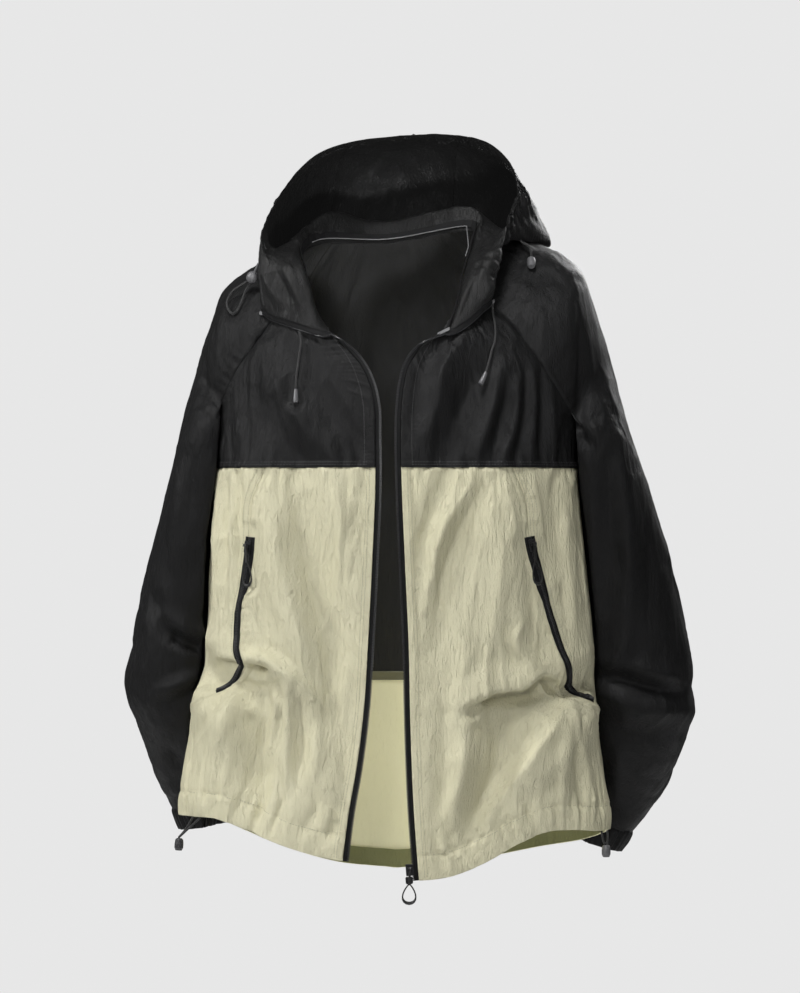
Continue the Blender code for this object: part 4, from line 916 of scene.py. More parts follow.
def nylon(name, colour, deep, roughness, crinkle=0.0018, specular=0.3, glow=0.0):
    """Plain-woven, crinkled nylon: colour on its crests, deep in its hollows as painted shade."""
    finish = Finish(name, specular=specular)
    # Painted light: with glow above 0 the cloth glows in its own colour, though it is no lamp.
    finish.shader.inputs["Emission Color"].default_value = (*colour, 1)
    finish.shader.inputs["Emission Strength"].default_value = glow
    fine = finish.noise((0.0042, 0.0042, 0.019), detail=4.0, warp=0.5)
    small = finish.noise((0.0020, 0.0020, 0.0060), detail=2.0)
    crest = 1 - (fine * 2 - 1).absolute()
    height = crest * 0.6 + fine * 0.5 + small * 0.25
    across, along = finish.along()
    thread = 2 * math.pi / THREAD_PITCH
    weave = (across * thread).sine() * (along * thread).sine()
    large = finish.noise((0.09, 0.09, 0.12), detail=2.0)
    # Painted shade: the crinkle's hollows get the deep colour; the large noise is tone that varies
    # at random.
    tone_and_hollow_shade = (0.35 + large * 0.5 + crest * 0.35).clamped()
    finish.feed(Base_Color=finish.blend(tone_and_hollow_shade, deep, colour),
                Roughness=roughness + GLOSS_CHANGE * (large - 0.5) - 0.05 * (small - 0.5))
    finish.emboss(height + weave * 0.02, crinkle)
    return finish.material


FINISHES = {
    "black": nylon("black_nylon_cloth", (0.0098, 0.0098, 0.0100), (0.0052, 0.0052, 0.0054), 0.46,
                   crinkle=0.0012, specular=0.14),
    # Painted light: the reverse of the black nylon is a lighter copy of it, to brighten the shaded
    # inside.
    "black_inside_painted_light": nylon("black_nylon_reverse_painted_light", (0.023, 0.023, 0.023), (0.017, 0.017, 0.017),
                          0.56, crinkle=0.0010, specular=0.22),
    # Painted light: the hood's inner face glows, to lift the shade inside the hood.
    "black_hood_glowing": nylon("hood_inner_nylon_glowing", (0.010, 0.010, 0.010), (0.005, 0.005, 0.005), 0.40,
                        crinkle=0.0014, specular=0.21, glow=0.36),
    "sage": nylon("sage_nylon_cloth", (0.63, 0.60, 0.425), (0.47, 0.445, 0.28), 0.50,
                  crinkle=0.0028),
    # Painted light: the sage's reverse is lighter than its outer face and glows, to brighten the
    # inside of the back.
    "sage_inside_painted_light": nylon("sage_nylon_reverse_glowing", (0.80, 0.77, 0.52), (0.72, 0.69, 0.45), 0.6,
                         crinkle=0.0010, glow=0.14),
    # Painted shade: the hem facing is a dark olive copy of the sage cloth, for the shade inside the
    # hem.
    "olive_painted_shade": nylon("hem_facing_cloth", (0.25, 0.255, 0.115), (0.20, 0.205, 0.09), 0.6),
}


GRAIN = 0.002              # size and depth in metres of the grain of a moulded piece
GRAIN_DEPTH = 0.00006


def plain_finish(name, colour, roughness, metallic=0.0):
    """Smooth moulded or painted surface with a faint grain."""
    finish = Finish(name, roughness=roughness, metallic=metallic)
    spots = finish.noise((GRAIN, GRAIN, GRAIN))
    dark = tuple(c * 0.8 for c in colour)
    finish.feed(Base_Color=finish.blend(spots, dark, colour),
                Roughness=roughness + 0.12 * (spots - 0.5))
    finish.emboss(spots, GRAIN_DEPTH)
    return finish.material


def corded(name, colour, pitch):
    """Braided cord: two sets of strands cross over each other along its UV map."""
    finish = Finish(name, roughness=0.75, sheen=0.1)
    around, along = finish.along()
    turn = 2 * math.pi / pitch
    one = ((around + along) * turn).sine()
    two = ((around - along) * turn).sine()
    strands = (one * two * 0.5 + 0.5).clamped()
    dark = tuple(c * 0.35 for c in colour)
    finish.feed(Base_Color=finish.blend(strands, dark, colour))
    finish.emboss(strands, 0.00025)
    return finish.material


def woven_tape(name, colour):
    """Zip tape: a fine rib along its length."""
    finish = Finish(name, roughness=0.7, specular=0.2)
    around, along = finish.along()
    rib, cross = ((place * (2 * math.pi / pitch)).sine() * 0.5 + 0.5
                  for place, pitch in ((around, 0.0009), (along, 0.0012)))
    weave = (rib * 0.7 + cross * 0.3).clamped()
    dark = tuple(c * 0.45 for c in colour)
    finish.feed(Base_Color=finish.blend(weave, dark, colour))
    finish.emboss(weave, 0.00015)
    return finish.material


FINISHES["tape"] = woven_tape("zip_tape_weave", (0.009, 0.009, 0.0095))
FINISHES["cord"] = corded("black_braid", (0.026, 0.026, 0.026), 0.0016)
for finish, name, colour, roughness in (
        ("teeth", "zip_teeth_nylon", (0.022, 0.022, 0.024), 0.36),
        ("metal", "slider_lacquer", (0.035, 0.035, 0.037), 0.30),
        ("plastic", "lock_plastic", (0.12, 0.12, 0.125), 0.38),
        ("dark_plastic", "dark_lock_plastic", (0.04, 0.04, 0.042), 0.36),
        ("rubber", "pull_rubber", (0.013, 0.013, 0.013), 0.40),
        ("binding", "seam_binding", (0.17, 0.165, 0.095), 0.6),
        ("piping", "neck_piping_satin", (0.20, 0.20, 0.205), 0.45),
        ("black_thread", "black_thread", (0.035, 0.035, 0.036), 0.5),
        ("sage_thread", "sage_thread", (0.40, 0.385, 0.265), 0.6)):
    metallic = 0.6 if finish == "metal" else 0.0
    FINISHES[finish] = plain_finish(name, colour, roughness, metallic)
print("finishes:", ", ".join(FINISHES))


# %% [markdown]
# ## From a surface to a piece of cloth
# A piece could be draped by simulation, but it would lose the folds that belong to this
# jacket. So each piece starts as a fine net of points on its surface. The relief moves the
# points along their normals, and a Solidify modifier gives the cloth its half millimetre. Nets
# that share a line, as the two halves of a sleeve do, are joined on it.

# %% Nets of points
def close_steps(length, cell, edge=(0.0, 0.8, 2.0)):
    """Shares of a length at an even step, with a few closer ones at both ends."""
    even = np.linspace(0, 1, max(4, round(length / cell)) + 1)
    near = np.asarray(edge) / length
    low = near[-1] + 0.6 * cell / length
    high = 1 - near[-1] - 0.6 * cell / length
    return np.concatenate([near, even[(even > low) & (even < high)], (1 - near)[::-1]])


def join_nets(nets):
    """Points, faces and cloth coordinates of one or more nets, merged where they meet."""
    points = np.concatenate([net.reshape(-1, 3) for net in nets])
    places = []
    faces = []
    start = 0
    for net in nets:
        rows, columns = net.shape[:2]
        middle = lengths(net, 1)
        places.append(np.stack([middle - middle[:, -1:] / 2, lengths(net, 0)], -1).reshape(-1, 2))
        index = start + np.arange(rows * columns).reshape(rows, columns)
        faces.append(np.stack([index[:-1, :-1], index[:-1, 1:], index[1:, 1:], index[1:, :-1]],
                              -1).reshape(-1, 4))
        start += rows * columns
    faces = np.concatenate(faces)
    places = np.concatenate(places)
    _, first, back = np.unique(np.round(points, 2), axis=0, return_index=True, return_inverse=True)
    back = back.reshape(-1)
    joined = back[faces]
    keep = np.array([len(set(face)) > 2 for face in joined.tolist()])
    return points[first], joined[keep], places[faces[keep]]


def crossings(points, faces):
    """Cross product of the diagonals of each face: its normal, twice as long as its area."""
    a, b, c, d = (points[faces[:, k]] for k in range(4))
    return np.cross(c - a, d - b)


def net_normals(points, faces):
    """Normals of the points from the faces round them."""
    across = crossings(points, faces)
    normals = np.zeros_like(points)
    for k in range(4):
        np.add.at(normals, faces[:, k], across)
    return unit(normals)


# %% A shell of cloth
CLOTH = 0.6            # thickness of the shown cloth
LEAST_SHARE = 0.31     # of the rectangle that it is cut from, below which no piece is counted


def new_mesh(name, points, faces, places=None, finishes=()):
    """Mesh object from points in mm, with its cloth coordinates in metres."""
    mesh = bpy.data.meshes.new(name)
    faces = [[int(i) for i in dict.fromkeys(face)] for face in faces]
    mesh.from_pydata((np.asarray(points) * MM).tolist(), [], faces)
    if places is not None:
        layer = mesh.uv_layers.new(name="cloth")
        for polygon, corners in zip(mesh.polygons, places):
            for loop, corner in zip(polygon.loop_indices, corners):
                layer.data[loop].uv = corner * MM
    for finish in finishes:
        mesh.materials.append(FINISHES[finish])
    obj = bpy.data.objects.new(name, mesh)
    bpy.context.collection.objects.link(obj)
    mesh.polygons.foreach_set("use_smooth", [True] * len(mesh.polygons))
    return obj


def select_only(obj):
    """Select one object and nothing else, so that an operator acts on it alone."""
    bpy.ops.object.select_all(action="DESELECT")
    bpy.context.view_layer.objects.active = obj
    obj.select_set(True)


def apply_modifiers(obj):
    """Apply every modifier of one object."""
    select_only(obj)
    for modifier in list(obj.modifiers):
        bpy.ops.object.modifier_apply(modifier=modifier.name)
    obj.select_set(False)


def cloth(name, node, nets, outward, relief, finish, inside, slot, held="hung", wall=CLOTH,
          sheet=True):
    """Make one piece of cloth in place of a CAD node.

    outward gives a rough outward direction at each point of the net. relief gives the height
    in mm at the net's points and normals.
    """
    points, faces, places = join_nets(nets)
    normals = net_normals(points, faces)
    if (normals * outward(points)).sum() < 0:
        faces, places, normals = faces[:, ::-1], places[:, ::-1], -normals
    shown = points + normals * relief(points, normals)[:, None]
    obj = new_mesh(name, shown, faces, places, (finish, inside))
    shell = obj.modifiers.new("wall", "SOLIDIFY")
    shell.thickness = wall * MM
    shell.offset = -1
    shell.use_even_offset = False
    shell.material_offset = 1
    shell.material_offset_rim = 0
    apply_modifiers(obj)
    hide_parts(node)
    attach(obj, "jacket")
    area = np.linalg.norm(crossings(points, faces), axis=1).sum() / 2 * MM ** 2
    span = places.reshape(-1, 2)
    length = float(span[:, 1].max() - span[:, 1].min()) * MM
    width = sum(float(lengths(net, 1)[:, -1].max()) for net in nets) * MM
    area = float(min(max(area, LEAST_SHARE * width * length), width * length))
    print(f"{name}: cut {width * 1000:.0f} x {length * 1000:.0f} mm, {area:.3f} m2, "
          f"{len(obj.data.polygons)} faces")
    return obj


def away_from(centre):
    """A rough outward direction: level, and away from an upright axis through centre."""
    return lambda points: unit((points - centre) * (1, 1, 0))


from_axis = away_from((0, 0, 0))      # of the body

# Finish of the outer and of the inner face, and the material slot.
BLACK_CLOTH = ("black", "black_inside_painted_light", "black_nylon")
SAGE_CLOTH = ("sage", "sage_inside_painted_light", "sage_nylon")


# %% [markdown]
# ## The two fronts
# Each front is a black yoke, a sage panel and a narrow sage side piece behind the hand
# pocket. The yoke is stitched down on the panel. Along the zip the cloth is doubled.

# %% Seam lines of the body
PANEL_CELL = 2.3       # from point to point of the net
YOKE_CUT = (215, 240)  # rough width and height of each piece, which set its number of points
PANEL_CUT = (200, 430)
WEDGE_CUT = (100, 292)
WEDGE_TAIL = 20.0      # the side piece runs out to a point over this length
WEDGE_START = 0.70     # shares of the way to the hem at which its tail starts and ends
WEDGE_END = 0.745
WEDGE_FOOT = {}
for side in ("left", "right"):
    drop = hem_height(sign_of(side) * math.pi / 2) - YOKE_SEAM
    WEDGE_FOOT[side] = float(YOKE_SEAM + drop * WEDGE_START)


def rows_to_neck(height, cell):
    """Shares of a height that also hold the corners of the armhole."""
    return np.unique(np.concatenate([close_steps(height, cell), (SIDE_PART, UNDERARM_PART)]))


def front_nets(side):
    """Nets of the yoke, the panel and the side piece of one front."""
    turn = sign_of(side) * math.pi / 2
    rows = rows_to_neck(YOKE_CUT[1], PANEL_CELL)
    columns = close_steps(YOKE_CUT[0], PANEL_CELL)
    phi_out, z_out = upper_boundary(side, "front", rows)
    z_in = YOKE_SEAM + (FRONT_EDGE["z"][-1] - YOKE_SEAM) * rows
    phi_in = edge_angle(side, z_in)
    phi = phi_out[:, None] + (phi_in - phi_out)[:, None] * columns
    z = z_out[:, None] + (z_in - z_out)[:, None] * columns
    around = sign_of(side) * (NECK_FRONT + (1 - NECK_FRONT) * columns)
    yoke = ease_to_neck(body_point(phi, z), rows, neck_point(around))

    def pocket_seam(z):
        """The seam bends to the side seam below its foot."""
        below = np.clip((WEDGE_FOOT[side] - z) / WEDGE_TAIL, 0, 1)
        return pocket_angle(side, z) * (1 - below) + turn * below

    def front_edge(z):
        """The edge where the zip is sewn."""
        return edge_angle(side, z)

    share, down = (close_steps(length, PANEL_CELL) for length in PANEL_CUT)
    panel = body_point(*cloth_grid(pocket_seam, front_edge, share, down))
    share, down = (close_steps(length, PANEL_CELL) for length in WEDGE_CUT)
    wedge = cloth_grid(lambda z: turn + 0 * z, pocket_seam, share, down * WEDGE_END)
    return yoke, panel, body_point(*wedge)


def cloth_grid(phi_start, phi_end, share, down):
    """Angles and heights of body cloth below the yoke seam, hem first."""
    phi = np.empty((len(down), len(share)))
    z = np.empty_like(phi)
    for r, v in enumerate(down):
        level = np.full(len(share), YOKE_SEAM, float)
        for _ in range(4):
            angle = phi_start(level) + (phi_end(level) - phi_start(level)) * share
            level = YOKE_SEAM + (hem_height(angle) - YOKE_SEAM) * v
        phi[r] = angle
        z[r] = level
    return phi[::-1], z[::-1]


FRONT = {side: dict(zip(("yoke", "panel", "wedge"), front_nets(side)))
         for side in ("left", "right")}
SEAMS = {}
for side, nets in FRONT.items():
    SEAMS["yoke_" + side] = nets["yoke"][0, ::3]
    SEAMS["edge_" + side] = np.concatenate([nets["panel"][:-1:3, -1], nets["yoke"][::3, -1]])
    SEAMS["pocket_" + side] = nets["wedge"][::3, -1]
    SEAMS["hem_" + side] = nets["panel"][0, ::3]
    stations = np.linspace(0, 5, 40)
    raglan = body_point(*armhole(side, stations, "front"))
    to_neck = neck_point(np.array([sign_of(side) * NECK_FRONT])) - raglan[0]
    SEAMS["raglan_front_" + side] = (raglan + neck_fade(row_of_station(stations))[:, None]
                                     * to_neck)
    SEAMS["raglan_back_" + side] = body_point(*armhole(side, stations, "back"))
    SEAMS["arm_front_" + side] = nets["yoke"][::2, 0]
    foot = float(hem_height(sign_of(side) * math.pi / 2)) - 2
    SEAMS["side_" + side] = body_point(np.full(60, sign_of(side) * math.pi / 2),
                                       np.linspace(foot, YOKE_SEAM, 60))
print("seam lines:", ", ".join(SEAMS))

# %% Creases of the fronts
# Half width, depth (a trough is positive) and lean of each crease, and its points.
FRONT_CREASES = {
    "front": (
        # left panel: its broad slopes
        (24, -13, -0.4, (-139, -229), (-136, -284), (-128, -339), (-113, -383), (-102, -427),
         (-99, -460)),
        (21, 11, 0.35, (-114, -229), (-106, -295), (-92, -361), (-78, -416), (-69, -482),
         (-56, -548), (-51, -614)),
        (21, -13, 0.4, (-174, -464), (-185, -504), (-199, -559), (-207, -600)),
        (21, 19, -0.4, (-153, -474), (-151, -526), (-152, -592), (-156, -622)),
        (14, -5, -0.3, (-58, -450), (-60, -520), (-66, -600)),
        (11, -3.4, 0, (-66, -235), (-58, -300), (-50, -370)),
        # left panel: the pinch at the end of the pocket and what hangs from it
        (4.6, 8.5, 0, (-192, -444), (-174, -448), (-158, -449), (-147, -452)),
        (5, 12, 0, (-160, -449), (-152, -451), (-142, -450)),
        (8, -8, -0.3, (-196, -436), (-166, -437), (-146, -436), (-126, -448), (-98, -470),
         (-84, -486)),
        (6, -5, -0.4, (-150, -462), (-133, -480), (-137, -515), (-150, -560)),
        (5, 5, 0, (-143, -466), (-140, -490), (-146, -530)),
        (4.6, 4.6, 0, (-126, -462), (-127, -500), (-132, -530)),
        (7, -4.6, -0.3, (-119, -462), (-117, -510), (-120, -570)),
        (8, 4, 0.2, (-106, -470), (-104, -520), (-112, -590)),
        (8, -3.4, -0.3, (-92, -470), (-88, -520), (-96, -600)),
        (8, -4, 0.5, (-172, -463), (-200, -505), (-223, -545)),
        (7, -3.4, 0, (-158, -246), (-156, -300), (-160, -360), (-156, -420)),
        (4.5, 4.6, 0, (-190, -230), (-190, -290), (-194, -350)),
        (4, -4.2, 0, (-182, -230), (-181, -300), (-184, -370)),
        (4, 4.6, 0, (-173, -232), (-174, -300), (-176, -380)),
        (4, -4.2, 0, (-199, -232), (-201, -300), (-206, -380)),
        (6, 5, 0, (-130, -560), (-126, -590), (-132, -612)),
        (6, 5, 0, (-96, -575), (-88, -600), (-96, -625)),
        (6, 4.6, 0, (-76, -590), (-66, -612), (-78, -636)),
        # right panel: its broad slopes
        (27, -11.5, 0.1, (124, -232), (114, -328), (105, -394), (94, -462)),
        (13, 6, 0, (143, -318), (152, -370), (163, -420), (170, -458)),
        (7.5, -4.6, 0, (85, -240), (48, -303), (36, -358)),
        (9, 5, 0.3, (96, -246), (70, -296), (50, -356), (44, -410)),
        (8, 4, 0, (50, -240), (36, -280), (26, -316)),
        (19, -14.5, 0.4, (80, -490), (74, -548), (52, -622)),
        (22, 19, -0.2, (120, -506), (114, -545), (98, -590), (78, -626)),
        # right panel: the long crease above the hem and the folds that it gathers
        (17, 7, 0, (82, -512), (104, -512), (128, -506)),
        (17, 5, 0, (-178, -500), (-160, -506), (-146, -508)),
        (5, 12, 0, (79, -498), (97, -484), (125, -481), (151, -477), (163, -467), (172, -469),
         (198, -478), (216, -469)),
        (9, -6.5, 0.4, (84, -484), (110, -469), (140, -465), (158, -455)),
        (10, -9, 0.3, (193, -488), (162, -530), (125, -580), (98, -618)),
        (10, -5, 0.4, (196, -490), (190, -540), (184, -590)),
        (9, 6, 0, (210, -496), (206, -545), (203, -590)),
        (5, -4.2, 0.2, (196, -489), (212, -550), (216, -600)),
        (6.5, -3.2, 0, (158, -508), (184, -530), (160, -578)),
        (6, 3.4, 0, (130, -352), (122, -400), (134, -450)),
        (5, -3.4, 0, (140, -395), (132, -420), (150, -440)),
        (9, -3.2, 0, (88, -320), (80, -400), (78, -470)),
        (8, 3.6, 0, (54, -500), (56, -560), (50, -625)),
        (6, 4.4, 0, (60, -560), (52, -600), (60, -640)),
        (6, -3.4, 0, (186, -240), (192, -320), (198, -420)),
        (5, 3.4, 0, (176, -240), (184, -320), (190, -400)),
        (5, 3.6, 0, (158, -240), (166, -290), (172, -340)),
        (5, -3.4, 0, (150, -236), (160, -280), (168, -320)),
        # left yoke
        (22, -6, 0.3, (-156, -66), (-130, -121), (-106, -165), (-66, -216)),
        (17, 7.5, 0.2, (-133, -72), (-104, -121), (-80, -163), (-40, -209)),
        (9, -3.4, 0, (-150, -100), (-140, -150), (-128, -205)),
        (6, -3, 0, (-112, -150), (-100, -190), (-96, -215)),
        (6, 3.2, 0, (-168, -140), (-164, -210)),
        (5, 3, 0, (-136, -150), (-120, -216)),
        (10, -3.2, 0.3, (-80, -110), (-58, -150), (-38, -180)),
        # right yoke
        (12, -7.5, 0.2, (78, -80), (51, -119), (43, -168), (24, -206)),
        (15, 8, 0, (98, -110), (72, -160), (52, -208)),
        (7, -4.6, 0.2, (117, -113), (109, -154), (89, -215)),
        (6, 4.4, 0, (124, -125), (117, -165), (104, -218)),
        (5.5, -4, 0.2, (136, -127), (131, -182), (116, -218)),
        (5, 4, 0, (145, -119), (143, -170), (132, -218)),
        (5.5, -3.6, 0, (153, -108), (154, -160), (148, -218)),
        (5, 3.4, 0, (162, -120), (165, -170), (162, -218)),
        (5, -3, 0, (172, -130), (176, -180), (174, -218)),
    ),
}
HEM_CHANNEL = 27.0
LOW_PLACES = [         # lines in front view that a cord or a pull hangs over
    ((-108, -80), (-110, -150)), ((110, -60), (98, -128)),
    ((-165, -296), (-164, -356)), ((152, -296), (158, -354)),
]
LOW_REACH = 13.0       # and how far to its sides the cloth is held down
LOW_LIMIT = 0.4        # height of the cloth right behind it


def lie_low(points, relief):
    """Keep the cloth from standing up through what hangs in front of it."""
    seen = points[:, (0, 2)]
    for start, end in np.asarray(LOW_PLACES, float):
        step = end - start
        share = np.clip((seen - start) @ step / (step @ step), 0, 1)
        away = np.linalg.norm(seen - start - share[:, None] * step, axis=1)
        limit = LOW_LIMIT + 9.0 * np.clip(away / LOW_REACH - 0.6, 0, 9)
        limit = np.where(points[:, 1] < 0, limit, 99)
        relief = np.where(relief > limit, limit + 0.15 * (relief - limit), relief)
    return relief


def body_relief(points, normals, amount, seed, seams=()):
    """Creases, crumple and seams on a piece of the body."""
    relief = -creases(points, normals, {**FRONT_CREASES, **BACK_CREASES})
    soft = np.ones(len(points))
    for name, facts in seams:
        away, _ = near_line(points, SEAMS[name])
        if name.startswith(("pocket_", "edge_")):
            relief *= 1 - 0.8 * np.exp(-(away / 9.0) ** 2)
        calm = facts.get("calm", 5.0)
        soft *= 1 - 0.85 * np.exp(-(away / calm) ** 2)
        relief += seam_relief(points, SEAMS[name],
                              **{fact: value for fact, value in facts.items() if fact != "calm"})
    return lie_low(points, relief + soft * crumple(points, amount, seed))


SEAM_REACH = 3.0       # relief eases to nothing this near to the seam of a sleeve


def meet(points, relief, *names, reach=9.0):
    """Ease the relief to nothing at the seams where two pieces of cloth must meet."""
    for name in names:
        away, _ = near_line(points, SEAMS[name])
        relief = relief * (1 - np.exp(-(away / reach) ** 2))
    return relief


def hem_gathers(points, side):
    """The drawn hem: a soft channel below a row of stitches, with gathers on both sides."""
    away, along = near_line(points, SEAMS["hem_" + side])
    waves = uneven_waves(along, 9.0, 71)
    slow = uneven_waves(along, 23.0, 72)
    pinch = -1.1 * np.exp(-((away - HEM_CHANNEL) / 2.0) ** 2)
    above = np.where(away > HEM_CHANNEL, np.exp(-(away - HEM_CHANNEL) / 22.0), 1.0)
    below = np.where(away < HEM_CHANNEL, 0.45 + 0.55 * away / HEM_CHANNEL, 1.0)
    roll = 0.7 * np.sin(np.pi * np.clip(away / HEM_CHANNEL, 0, 1))
    return pinch + roll + (1.9 * waves + 2.4 * slow) * above * below


BACK_CREASES = {
    "back": (
        (16, 5.5, 0.2, (-60, -20), (-100, -90), (-150, -190)),
        (16, 5.5, -0.2, (70, -20), (112, -90), (160, -200)),
        (16, -3.6, 0, (-20, -40), (-30, -160), (-24, -260)),
        (15, 3.6, 0, (40, -60), (52, -190), (46, -300)),
        (16, -5.4, 0.2, (-90, -150), (-96, -280), (-84, -400)),
        (14, 5, 0, (-130, -220), (-150, -320), (-140, -440)),
        (15, -5.4, 0, (120, -210), (140, -330), (132, -450)),
        (12, 4.4, 0, (90, -280), (84, -380), (92, -460)),
        (9, -4, 0, (-180, -260), (-168, -360)),
        (9, -4, 0, (176, -240), (186, -340)),
        (9, 7, 0, (-190, -420), (-150, -446), (-96, -440), (-60, -446)),
        (9, 6.5, 0, (60, -462), (96, -456), (150, -436), (190, -430)),
        (14, -5.6, 0, (-170, -470), (-120, -500), (-96, -560)),
        (13, 5, 0, (-76, -490), (-70, -560), (-74, -620)),
        (14, -3.6, 0, (20, -500), (36, -560), (28, -640)),
        (14, 5.4, 0, (90, -480), (110, -560), (100, -630)),
        (13, -5.4, 0, (160, -470), (176, -540), (168, -610)),
        (10, 4.4, 0, (-130, -540), (-150, -600)),
    ),
    "left": (
        (10, 4.4, 0, (-30, -280), (-38, -380), (-24, -460)),
        (11, -4.4, 0, (10, -300), (0, -400), (14, -520)),
    ),
    "right": (
        (10, 4.4, 0, (-30, -290), (-36, -380), (-22, -470)),
        (11, -4.4, 0, (10, -300), (2, -420), (16, -540)),
    ),
}
for side, nets in FRONT.items():
    edge = ("edge_" + side, dict(groove=0.0, pucker=0.9, pitch=6.5, reach=13.0, band=10.5,
                                 raised=0.8, calm=12.0, slant=0.9 * sign_of(side), seed=31))
    chest = ("yoke_" + side, dict(groove=0.9, pucker=1.1, pitch=9.0, reach=22.0, calm=4.0,
                                  seed=32))

    def yoke_relief(points, normals):
        """Doubled edge, a stitched band along the chest seam, and the raglan seam."""
        relief = body_relief(points, normals, 0.85, 3, (
            edge, ("yoke_" + side, dict(groove=0.0, pucker=1.0, pitch=8.0, reach=16.0, band=6.5,
                                        raised=0.9, calm=9.0, seed=32)),
            ("raglan_front_" + side, dict(groove=0.4, pucker=0.8, pitch=8.0, seed=33))))
        return meet(points, relief, "arm_front_" + side, reach=SEAM_REACH)

    def panel_relief(points, normals):
        """The panel hangs in puckers from the chest seam and stands up as a welt at the pocket.

        Beside the zip it may not sink, or the tape would stand clear of it.
        """
        relief = hem_gathers(points, side) + body_relief(points, normals, 1.0, 3, (
            edge, chest, ("pocket_" + side, dict(groove=1.6, pucker=0.6, pitch=7.0, band=7.0,
                                                 raised=1.4, calm=9.0, seed=34))))
        away, _ = near_line(points, SEAMS["edge_" + side])
        lowest = -0.4 - 0.6 * np.clip(away - 2, 0, 30)
        return meet(points, np.maximum(relief, lowest), "side_" + side)

    def wedge_relief(points, normals):
        """The side piece lies below the welt of the pocket."""
        return meet(points, body_relief(points, normals, 0.9, 3, (
            chest, ("pocket_" + side, dict(groove=0.2, pucker=0.6, pitch=7.0, calm=6.0,
                                           seed=34)))), "side_" + side)

    cloth("yoke_cloth_" + side, "front_yoke_" + side, [nets["yoke"]], from_axis, yoke_relief,
          *BLACK_CLOTH)
    cloth("panel_cloth_" + side, "front_panel_" + side, [nets["panel"]], from_axis, panel_relief,
          *SAGE_CLOTH)
    cloth("side_cloth_" + side, "front_side_" + side, [nets["wedge"]], from_axis, wedge_relief,
          *SAGE_CLOTH)

# %% [markdown]
# ## The back
# The back hangs straight from the shoulders. Its dark top runs down to a seam below the
# waist, where the sage cloth starts. Through the open front its inner side shows.

# %% Back, upper and lower
BACK_CELL = 4.2
BACK_WIDTH = 600       # rough width and heights, which set the number of points
BACK_TOP_HEIGHT = 250
BACK_MIDDLE_HEIGHT = 240
BACK_LOW_HEIGHT = 220
BACK_GROOVE = ("back", dict(groove=0.6, pucker=0.5, pitch=9.0, seed=41))


def back_nets():
    """Nets of the back's two pieces."""
    rows = rows_to_neck(BACK_TOP_HEIGHT, BACK_CELL)
    share = close_steps(BACK_WIDTH, BACK_CELL)
    phi_l, z_l = upper_boundary("left", "back", rows)
    phi_r, z_r = upper_boundary("right", "back", rows)
    phi = phi_r[:, None] + (phi_l + 2 * math.pi - phi_r)[:, None] * share
    rise = 1 - (2 * share - 1) ** 2
    side_z = z_r[:, None] + (z_l - z_r)[:, None] * share
    full = YOKE_SEAM + (BACK_NECK_TOP - YOKE_SEAM) * rows
    z = side_z + (full[:, None] - side_z) * np.sqrt(np.clip(rise, 0, 1)) * BACK_ROW_RISE
    phi = np.where(phi > math.pi, phi - 2 * math.pi, phi)
    top = ease_to_neck(body_point(phi, z), rows, neck_point(NECK_BACK * (1 - 2 * share)))
    turn = math.pi / 2 + math.pi * share
    turn = np.where(turn > math.pi, turn - 2 * math.pi, turn)
    levels = close_steps(BACK_MIDDLE_HEIGHT, BACK_CELL)[:-1]
    levels = BACK_SEAM + (YOKE_SEAM - BACK_SEAM) * levels
    phi, z = np.meshgrid(turn, levels)
    upper = np.concatenate([body_point(phi, z), top])
    down = close_steps(BACK_LOW_HEIGHT, BACK_CELL)[:, None]
    z = hem_height(turn) + (BACK_SEAM - hem_height(turn)) * down
    return upper, body_point(turn + 0 * z, z)


back_upper, back_lower = back_nets()
SEAMS["back"] = back_lower[-1, ::3]
SEAMS["back_hem"] = back_lower[0, ::3]
SEAMS["arm_back_right"] = back_upper[::2, 0]
SEAMS["arm_back_left"] = back_upper[::2, -1]


def upper_relief(points, normals):
    """The dark back."""
    return meet(points, body_relief(points, normals, 0.8, 3, (
        BACK_GROOVE,
        ("raglan_back_left", dict(groove=0.9, pucker=0.6, pitch=8.0, seed=43)),
        ("raglan_back_right", dict(groove=0.9, pucker=0.6, pitch=8.0, seed=44)))),
        "side_left", "side_right")


def top_relief(points, normals):
    """The dark back where it is joined to the sleeves."""
    return meet(points, upper_relief(points, normals), "arm_back_left", "arm_back_right",
                reach=SEAM_REACH)


def lower_relief(points, normals):
    """The sage back with its drawn hem."""
    away, along = near_line(points, SEAMS["back_hem"])
    gathers = np.exp(-(away / 40.0) ** 2) * 1.2 * uneven_waves(along, 11.0, 73)
    relief = gathers + body_relief(points, normals, 0.8, 3, (BACK_GROOVE,))
    return meet(points, relief, "side_left", "side_right")


cloth("back_cloth_upper", "back_upper", [back_upper], from_axis, top_relief, *BLACK_CLOTH)
cloth("back_cloth_lower", "back_lower", [back_lower], from_axis, lower_relief, *SAGE_CLOTH)

# %% [markdown]
# Inside, the raw edge of the back's seam is covered by a narrow binding, and the turned hem by
# a facing, whose dark olive is painted shade of the hem's hollow. Both show through the open
# front. A maker would lay a strip along the seam and stitch it down, so here each is a strip of
# the back's own surface that is moved inward by a little more than the cloth is thick.

# %% Binding of the back's seam and facing of its hem
HEM_FACING = 21.0      # height of the facing
FACING_LOW = 0.003     # share of the back at which it starts, just above the hem
STRIP_WIDTH = 10.4     # of the binding
STRIP_DROP = 3.6       # its middle lies this far below the seam
facing_rise = FACING_LOW + close_steps(26, 3.0) * HEM_FACING / (BACK_SEAM - HEM["left"][-1])
facing = back_lower[0] + (back_lower[-1] - back_lower[0]) * facing_rise[:, None, None]
strip_rise = np.linspace(-STRIP_WIDTH / 2, STRIP_WIDTH / 2, 6) - STRIP_DROP
strip = np.repeat(back_lower[-1:], len(strip_rise), 0)
strip[..., 2] += strip_rise[:, None]


